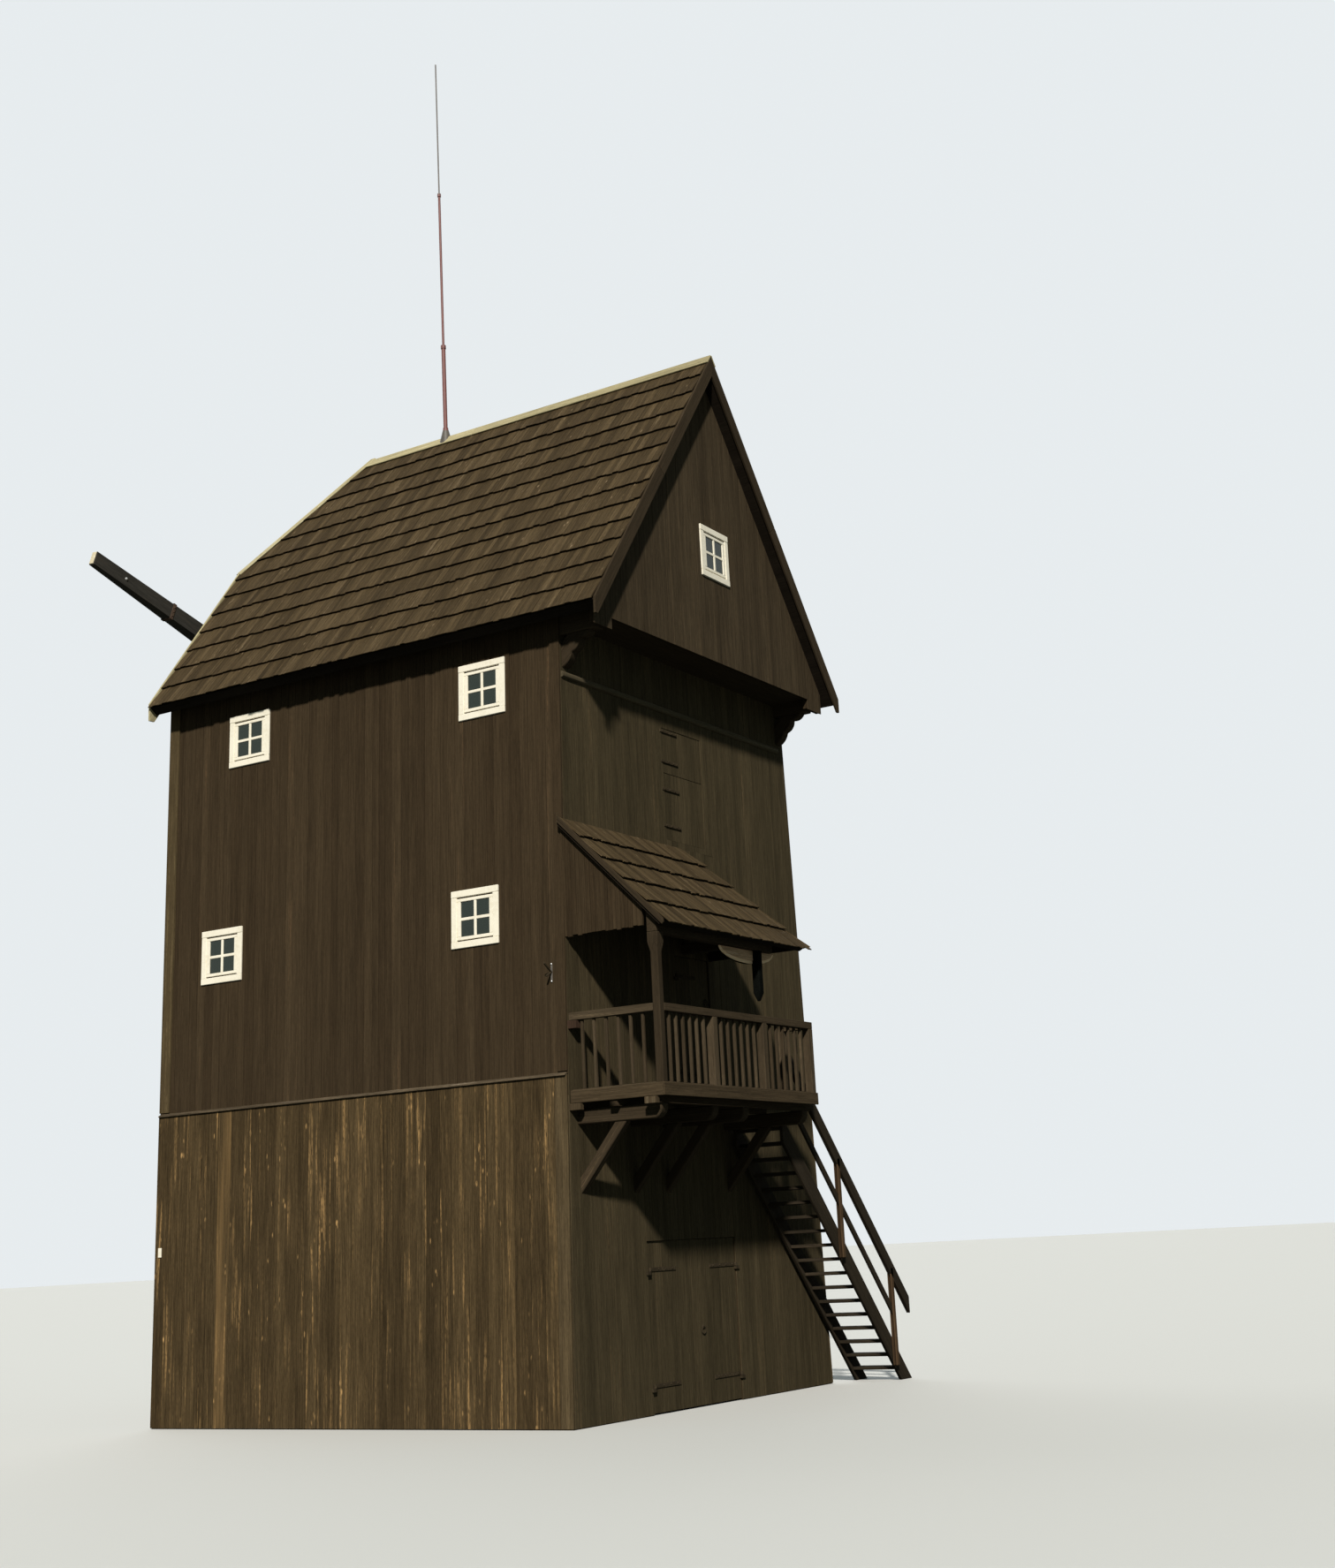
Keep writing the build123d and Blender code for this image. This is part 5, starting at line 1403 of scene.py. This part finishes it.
soften("sail_stock", stock_wood, 0.010, 112, "rotor", "stock_paint")
soften("windshaft", timber_wood, 0.010, 113, "rotor")

# %% [markdown]
# ## Balcony floor and railings
# These are many like pieces, so they are laid from bars again: floor boards across the joists, posts, a
# rail with softened edges, a low board round the floor, and thin square balusters between them. Paler
# edge boards close the front and the left side of the floor, over the ends of the joists.

# %% Balcony floor
balcony_low, balcony_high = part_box("balcony_floor")
stair_strip_x = 0.53
strip_edge_y = -3.70
floor_board = 0.14
joints = board_joints(balcony_low.x, balcony_high.x, floor_board, (stair_strip_x,), random.Random(120))
body_joints = [place for place in joints if place <= stair_strip_x]
strip_joints = [place for place in joints if place >= stair_strip_x]
floor_faces = (balcony_low.z, balcony_high.z)
bars = boards_between(body_joints, board_gap, *floor_faces, balcony_low.y, tail_y)
bars += boards_between(strip_joints, board_gap, *floor_faces, balcony_low.y, strip_edge_y)
floor_place = facing((0, 0, 0), (0, 0, 1), (0, 1, 0))
boards = lay(board_block, bars, "balcony_floor_boards", timber_wood, floor_place, 121)
finish_piece(boards, "mill", "timber", "balcony_floor")

# %% Edge boards of the balcony
edge_low = balcony_low.z - 0.065
edge_high = balcony_high.z + 0.010
edge_proud = 0.022
edge_place = facing((0, balcony_low.y, 0), (0, -1, 0), (1, 0, 0))
bars = [(-edge_high, -edge_low, 0, edge_proud, balcony_low.x - edge_proud, balcony_high.x)]
front_edge = lay(bar_block, bars, "front_edge", edge_wood, edge_place, 116)
edge_place = facing((balcony_low.x, 0, 0), (-1, 0, 0), (0, 1, 0))
bars = [(edge_low, edge_high, 0, edge_proud, balcony_low.y, tail_y - board_stand)]
side_edge = lay(bar_block, bars, "side_edge", edge_wood, edge_place, 117)
finish_piece(joined([front_edge, side_edge], "balcony_edge_boards", edge_wood), "mill", "timber")

# %% Ends of the joists
joist_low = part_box("balcony_joists")[0]
joist_end = 0.07
end_faces = (-balcony_low.x - 0.02, -joist_low.x + 0.01)
end_heights = (joist_low.z - 0.01, edge_low - 0.004)
bars = [
    (-y - joist_end, -y + joist_end, *end_faces, *end_heights)
    for y in (tail_y - joist_end - 0.01, joist_low.y + joist_end - 0.02)
]
side_face = facing((0, 0, 0), (-1, 0, 0))
ends = lay(bar_block, bars, "joist_ends", edge_wood, side_face, 118)
finish_piece(ends, "mill", "timber")

# %% Railings
rail_low, rail_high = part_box("balcony_front_railing")
post_size = 0.09
rail_depth = 0.08
baluster_size = 0.032
balusters_per_bay = 6
fascia_half = 0.025
fascia_top = rail_low.z + 0.022
fascia_foot = rail_low.z - 0.002
rail_bottom = rail_high.z - rail_depth
rail_y = (rail_low.y + rail_high.y) / 2
left_rail_x = balcony_low.x + post_size / 2
end_rail_x = balcony_high.x - post_size / 2
front_posts = (-1.53, -0.435, end_rail_x)
newel_y = strip_edge_y - post_size / 2


def upright(x, y, size, low, high):
    """A square upright as a bar on the front face."""
    return x - size / 2, x + size / 2, -y - size / 2, -y + size / 2, low, high


def spaced(start, end, count):
    """Evenly spaced places between two ends."""
    return [start + (end - start) * (step + 1) / (count + 1) for step in range(count)]


front_face = facing((0, 0, 0), (0, -1, 0))
uprights = [upright(x, rail_y, post_size, rail_low.z, rail_bottom) for x in front_posts]
uprights.append(upright(end_rail_x, newel_y, post_size, rail_low.z, rail_high.z))
for start, end in zip((left_rail_x,) + front_posts, front_posts):
    uprights += [
        upright(x, rail_y, baluster_size, fascia_top, rail_bottom)
        for x in spaced(start + post_size / 2, end - post_size / 2, balusters_per_bay)
    ]
side_start = balcony_low.y + post_size
uprights += [
    upright(left_rail_x, y, baluster_size, fascia_top, rail_bottom)
    for y in spaced(side_start, tail_y, balusters_per_bay)
]
end_middle = (side_start + newel_y - post_size / 2) / 2
uprights.append(upright(end_rail_x, end_middle, baluster_size, fascia_top, rail_bottom))
posts = lay(bar_block, uprights, "railing_posts", rail_wood, front_face, 122)
finish_piece(posts, "mill", "timber")

# %% Rails
along_x = facing((0, 0, 0), (0, -1, 0), (1, 0, 0))
along_y = facing((0, 0, 0), (-1, 0, 0), (0, 1, 0))
front_rails = [
    (-rail_high.z, -rail_bottom, -rail_high.y, -rail_low.y, rail_low.x, rail_high.x),
    (-fascia_top, -fascia_foot, -rail_y - fascia_half, -rail_y + fascia_half, rail_low.x, rail_high.x),
]
side_rails = []
for x, end in ((left_rail_x, tail_y), (end_rail_x, newel_y - post_size / 2)):
    side_rails += [
        (rail_bottom, rail_high.z, -x - post_size / 2, -x + post_size / 2, side_start, end),
        (fascia_foot, fascia_top, -x - fascia_half, -x + fascia_half, side_start, end),
    ]
rails = lay(bar_block, front_rails, "front_rails", rail_wood, along_x, 123)
finish_piece(rails, "mill", "timber", "balcony_front_railing")
rails = lay(bar_block, side_rails, "side_rails", rail_wood, along_y, 124)
finish_piece(rails, "mill", "timber", "balcony_left_railing", "balcony_end_railing")

# %% [markdown]
# ## Bolster and stair rail
# Under the porch plate hangs a bolster, sawn to half an ellipse, with a darker field let into its face.
# Rim and field are painted far paler than the timbers round them, painted sunlight on a piece in the
# porch's shade. The stair has a deep handrail and a thin middle rail. Both are laid too long and sawn
# off upright, and two newer, redder posts clasp them.

# %% Bolster under the porch plate, painted pale as if sunlit
bolster_left = -1.22
bolster_right = 0.0
bolster_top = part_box("porch_plates")[0].z
bolster_drop = 0.15
bolster_front = -4.053
bolster_depth = 0.016
bolster_rim = 0.035
field_front = bolster_front - 0.008
field_depth = 0.02
field_drop = bolster_drop - bolster_rim


def boat(name, left, right, drop, front, depth, material, seed):
    """Half an ellipse, hung by its flat side, with softened edges."""
    deselect_all()
    upright_turn = (math.pi / 2, 0, 0)
    bpy.ops.mesh.primitive_circle_add(vertices=64, radius=1.0, fill_type="NGON", rotation=upright_turn)
    piece = bpy.context.object
    piece.name = name
    bpy.ops.object.transform_apply(location=True, rotation=True, scale=True)
    bpy.ops.object.mode_set(mode="EDIT")
    bpy.ops.mesh.select_all(action="SELECT")
    bpy.ops.transform.resize(value=((right - left) / 2, 1, drop))
    bpy.ops.mesh.bisect(plane_co=(0, 0, 0), plane_no=(0, 0, 1), clear_outer=True)
    bpy.ops.mesh.select_all(action="SELECT")
    bpy.ops.mesh.extrude_region_move(TRANSFORM_OT_translate={"value": (0, depth, 0)})
    bpy.ops.mesh.select_all(action="SELECT")
    bpy.ops.mesh.normals_make_consistent(inside=False)
    bpy.ops.object.mode_set(mode="OBJECT")
    piece.data.transform(Matrix.Translation(((left + right) / 2, front, bolster_top)))
    piece.data.materials.append(material)
    apply_bevel(piece, 0.004)
    give_grain(piece, seed)
    return piece


ends = (bolster_left, bolster_right)
rim = boat("porch_bolster", *ends, bolster_drop, bolster_front, bolster_depth, bolster_painted_sunlight, 126)
finish_piece(rim, "mill", "timber")
ends = (bolster_left + bolster_rim, bolster_right - bolster_rim)
field = boat("bolster_field", *ends, field_drop, field_front, field_depth, bolster_field_painted_light, 129)
finish_piece(field, "mill", "timber")

# %% Stair rail
stair_slope = 1.07
stair_angle = math.atan(stair_slope)
rail_left = balcony_high.x
handrail_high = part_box("stair_handrail")[1]
rail_start = Vector((rail_left, strip_edge_y, handrail_high.z))
rail_up = Vector((-math.cos(stair_angle), 0, math.sin(stair_angle)))
handrail_run = handrail_high.x - rail_left
mid_rail_drop = 0.56
mid_rail_end = 3.13
stair_posts = (1.88, 3.13)
stair_post_width = 0.065
stair_outer_y = -3.695
handrail_width = 0.05
handrail_depth = 0.14
mid_rail_depth = 0.075
mid_rail_width = 0.03
spare = 0.2
mid_spare = 0.5
rail_place = facing(rail_start, (0, -1, 0), rail_up)
handrail_length = handrail_run / math.cos(stair_angle)
mid_offset = mid_rail_drop * math.cos(stair_angle)
mid_faces = (-mid_offset - mid_rail_depth, -mid_offset, 0, mid_rail_width)
rail_bars = (
    ((-handrail_depth, 0, 0, handrail_width, -handrail_length - spare, spare), handrail_high.x),
    ((*mid_faces, -handrail_length, mid_spare), mid_rail_end),
)
rails = []
for count, (bar, end_x) in enumerate(rail_bars):
    rail = lay(bar_block, [bar], "stair_rail", stair_wood, rail_place, 127 + count)
    saw(rail, (rail_left, 0, 0), (-1, 0, 0))
    saw(rail, (end_x, 0, 0), (1, 0, 0))
    rails.append(rail)
finish_piece(joined(rails, "stair_rails", stair_wood), "mill", "timber", "stair_handrail")

# %% Stair posts
def handrail_line(x):
    """Height of the handrail's upper edge at X."""
    return handrail_high.z - (x - rail_left) * stair_slope


stair_post_drop = 1.27
stair_rail_face = 0.004 - strip_edge_y
bars = []
for x in stair_posts:
    foot = max(handrail_line(x) - stair_post_drop, 0.0)
    head = handrail_line(x) - handrail_depth * 0.7
    left = x - stair_post_width / 2
    right = x + stair_post_width / 2
    bars.append((left, right, -stair_outer_y, stair_rail_face, foot, head))
    bars.append((left, right, -strip_edge_y + mid_rail_width, -strip_edge_y + handrail_width, foot, head))
posts = lay(bar_block, bars, "stair_posts", orange_wood, front_face, 128)
finish_piece(posts, "mill", "timber")

# %% [markdown]
# ## Iron and paint on the shaft, the stock and the rod
# The stock is one tarred timber with an iron band over a scarf, a bolt through it and pale end grain.
# The windshaft has iron hoops against splitting. The lightning rod is a tube in three sizes, painted on
# its lower lengths, with collars at its joints.

# %% Stock irons and pale ends
hub = Vector((0, 3.5, 9.55))
shaft_tilt = math.radians(5)
stock_angle = math.radians(16.2)
stock_half_length = 3.61
stock_root_half = 0.5
stock_root_size = 0.24
stock_tip_size = 0.19
stock_tip_thickness = 0.09
shaft_axis = Vector((0, math.cos(shaft_tilt), math.sin(shaft_tilt)))
shaft_up = Vector((0, -math.sin(shaft_tilt), math.cos(shaft_tilt)))
arm_along = Vector((-math.cos(stock_angle), 0, 0)) + shaft_up * math.sin(stock_angle)
band_place = 2.22
bolt_place = 3.07
band_half = 0.028
band_thickness = 0.007
band_stud = (0.012, 0.008)
band_stud_places = (-0.06, 0.0, 0.06)
bolt_head = (0.022, 0.016)
end_sink = 0.01
end_thickness = 0.006
end_rim = 0.009


def stock_half(along, tip_size):
    """Half the stock's width or thickness at a distance from the hub."""
    share = max(0.0, (along - stock_root_half) / (stock_half_length - stock_root_half))
    return (stock_root_size + (tip_size - stock_root_size) * share) / 2


irons, ends, bolts = [], [], []
for side in (1, -1):
    arm = facing(hub, shaft_axis, arm_along * side)
    half = stock_half(band_place, stock_tip_size)
    deep = stock_half(band_place, stock_tip_thickness)
    wide = half + band_thickness
    reach = deep + band_thickness
    run = (band_place - band_half, band_place + band_half)
    band = [
        (-wide, wide, deep, reach, *run),
        (-wide, wide, -reach, -deep, *run),
        (-wide, -half, -reach, reach, *run),
        (half, wide, -reach, reach, *run),
    ]
    irons.append(lay(bar_block, band, "band", rust_iron, arm, 130))
    tip = stock_tip_size / 2 - end_rim
    thin = stock_tip_thickness / 2 - end_rim
    end = [(-tip, tip, -thin, thin, stock_half_length - end_sink, stock_half_length + end_thickness)]
    ends.append(lay(bar_block, end, "end", pale_wood, arm, 131))
    for face in (-1, 1):
        normal = shaft_axis * face
        point = hub + arm_along * side * bolt_place + normal * stock_half(bolt_place, stock_tip_thickness)
        bolts.append(studs("bolt", [point], normal, *bolt_head, bolt_metal))
        points = [
            hub + arm_along * side * band_place + normal * reach + normal.cross(arm_along) * across
            for across in band_stud_places
        ]
        irons.append(studs("band_studs", points, normal, *band_stud, rust_iron))
finish_piece(joined(irons, "stock_bands", rust_iron), "rotor", "iron")
finish_piece(joined(ends, "stock_ends", pale_wood), "rotor", "stock_paint")
finish_piece(joined(bolts, "stock_bolts", bolt_metal), "rotor", "iron")


# %% Hoops on the windshaft and collars on the rod
def hoop(name, centre, axis, radius, width, thickness, material):
    """A flat ring with rounded edges round an axis."""
    deselect_all()
    bpy.ops.mesh.primitive_cylinder_add(vertices=48, radius=radius, depth=width, end_fill_type="NOTHING")
    piece = bpy.context.object
    piece.name = name
    wall = piece.modifiers.new("wall", "SOLIDIFY")
    wall.thickness = thickness
    wall.offset = 1
    bpy.ops.object.modifier_apply(modifier=wall.name)
    apply_bevel(piece, thickness / 3)
    bpy.ops.object.shade_smooth_by_angle(angle=math.radians(30))
    turned = Vector(axis).to_track_quat("Z", "Y").to_matrix().to_4x4()
    piece.data.transform(Matrix.Translation(centre) @ turned)
    piece.data.materials.append(material)
    return piece


ring_width = 0.05
hoop_radius = 0.226
hoop_places = (-0.46, -0.40)
hoop_thickness = 0.009
hoops = [
    hoop("hoop", hub + shaft_axis * along, shaft_axis, hoop_radius, ring_width, hoop_thickness, iron)
    for along in hoop_places
]
finish_piece(joined(hoops, "shaft_hoops", iron), "rotor", "iron")
rod_y = 0.46
collar_sizes = ((13.83, 0.0285), (16.10, 0.0175), (12.63, 0.0285))
collar_thickness = 0.007
collars = [
    hoop("collar", Vector((0, rod_y, z)), UP, radius, ring_width, collar_thickness, rod_paint)
    for z, radius in collar_sizes
]
finish_piece(joined(collars, "rod_collars", rod_paint), "mill", "rod_paint")

# %% Finishes of the frame's own pieces
slot_finish = {
    "dark_boards": dark_wood_behind,
    "skirt_boards": skirt_wood_behind,
    "shingles": roof_wood_painted_shade,
    "timber": dark_wood_behind,
    "door_boards": dark_wood_behind,
    "floor_boards": floor_wood,
    "white_paint": cream_paint,
    "glass": glass,
    "iron": iron,
    "stock_paint": dark_wood_behind,
    "rod_paint": rod_paint,
}
for part in frame["record"]["subparts"]:
    solid = nodes[part["node"]]
    solid.data.materials.clear()
    solid.data.materials.append(slot_finish[part["material_slot"]])

# %% Remove the blocks
for spare in (board_block, bar_block):
    bpy.data.objects.remove(spare)
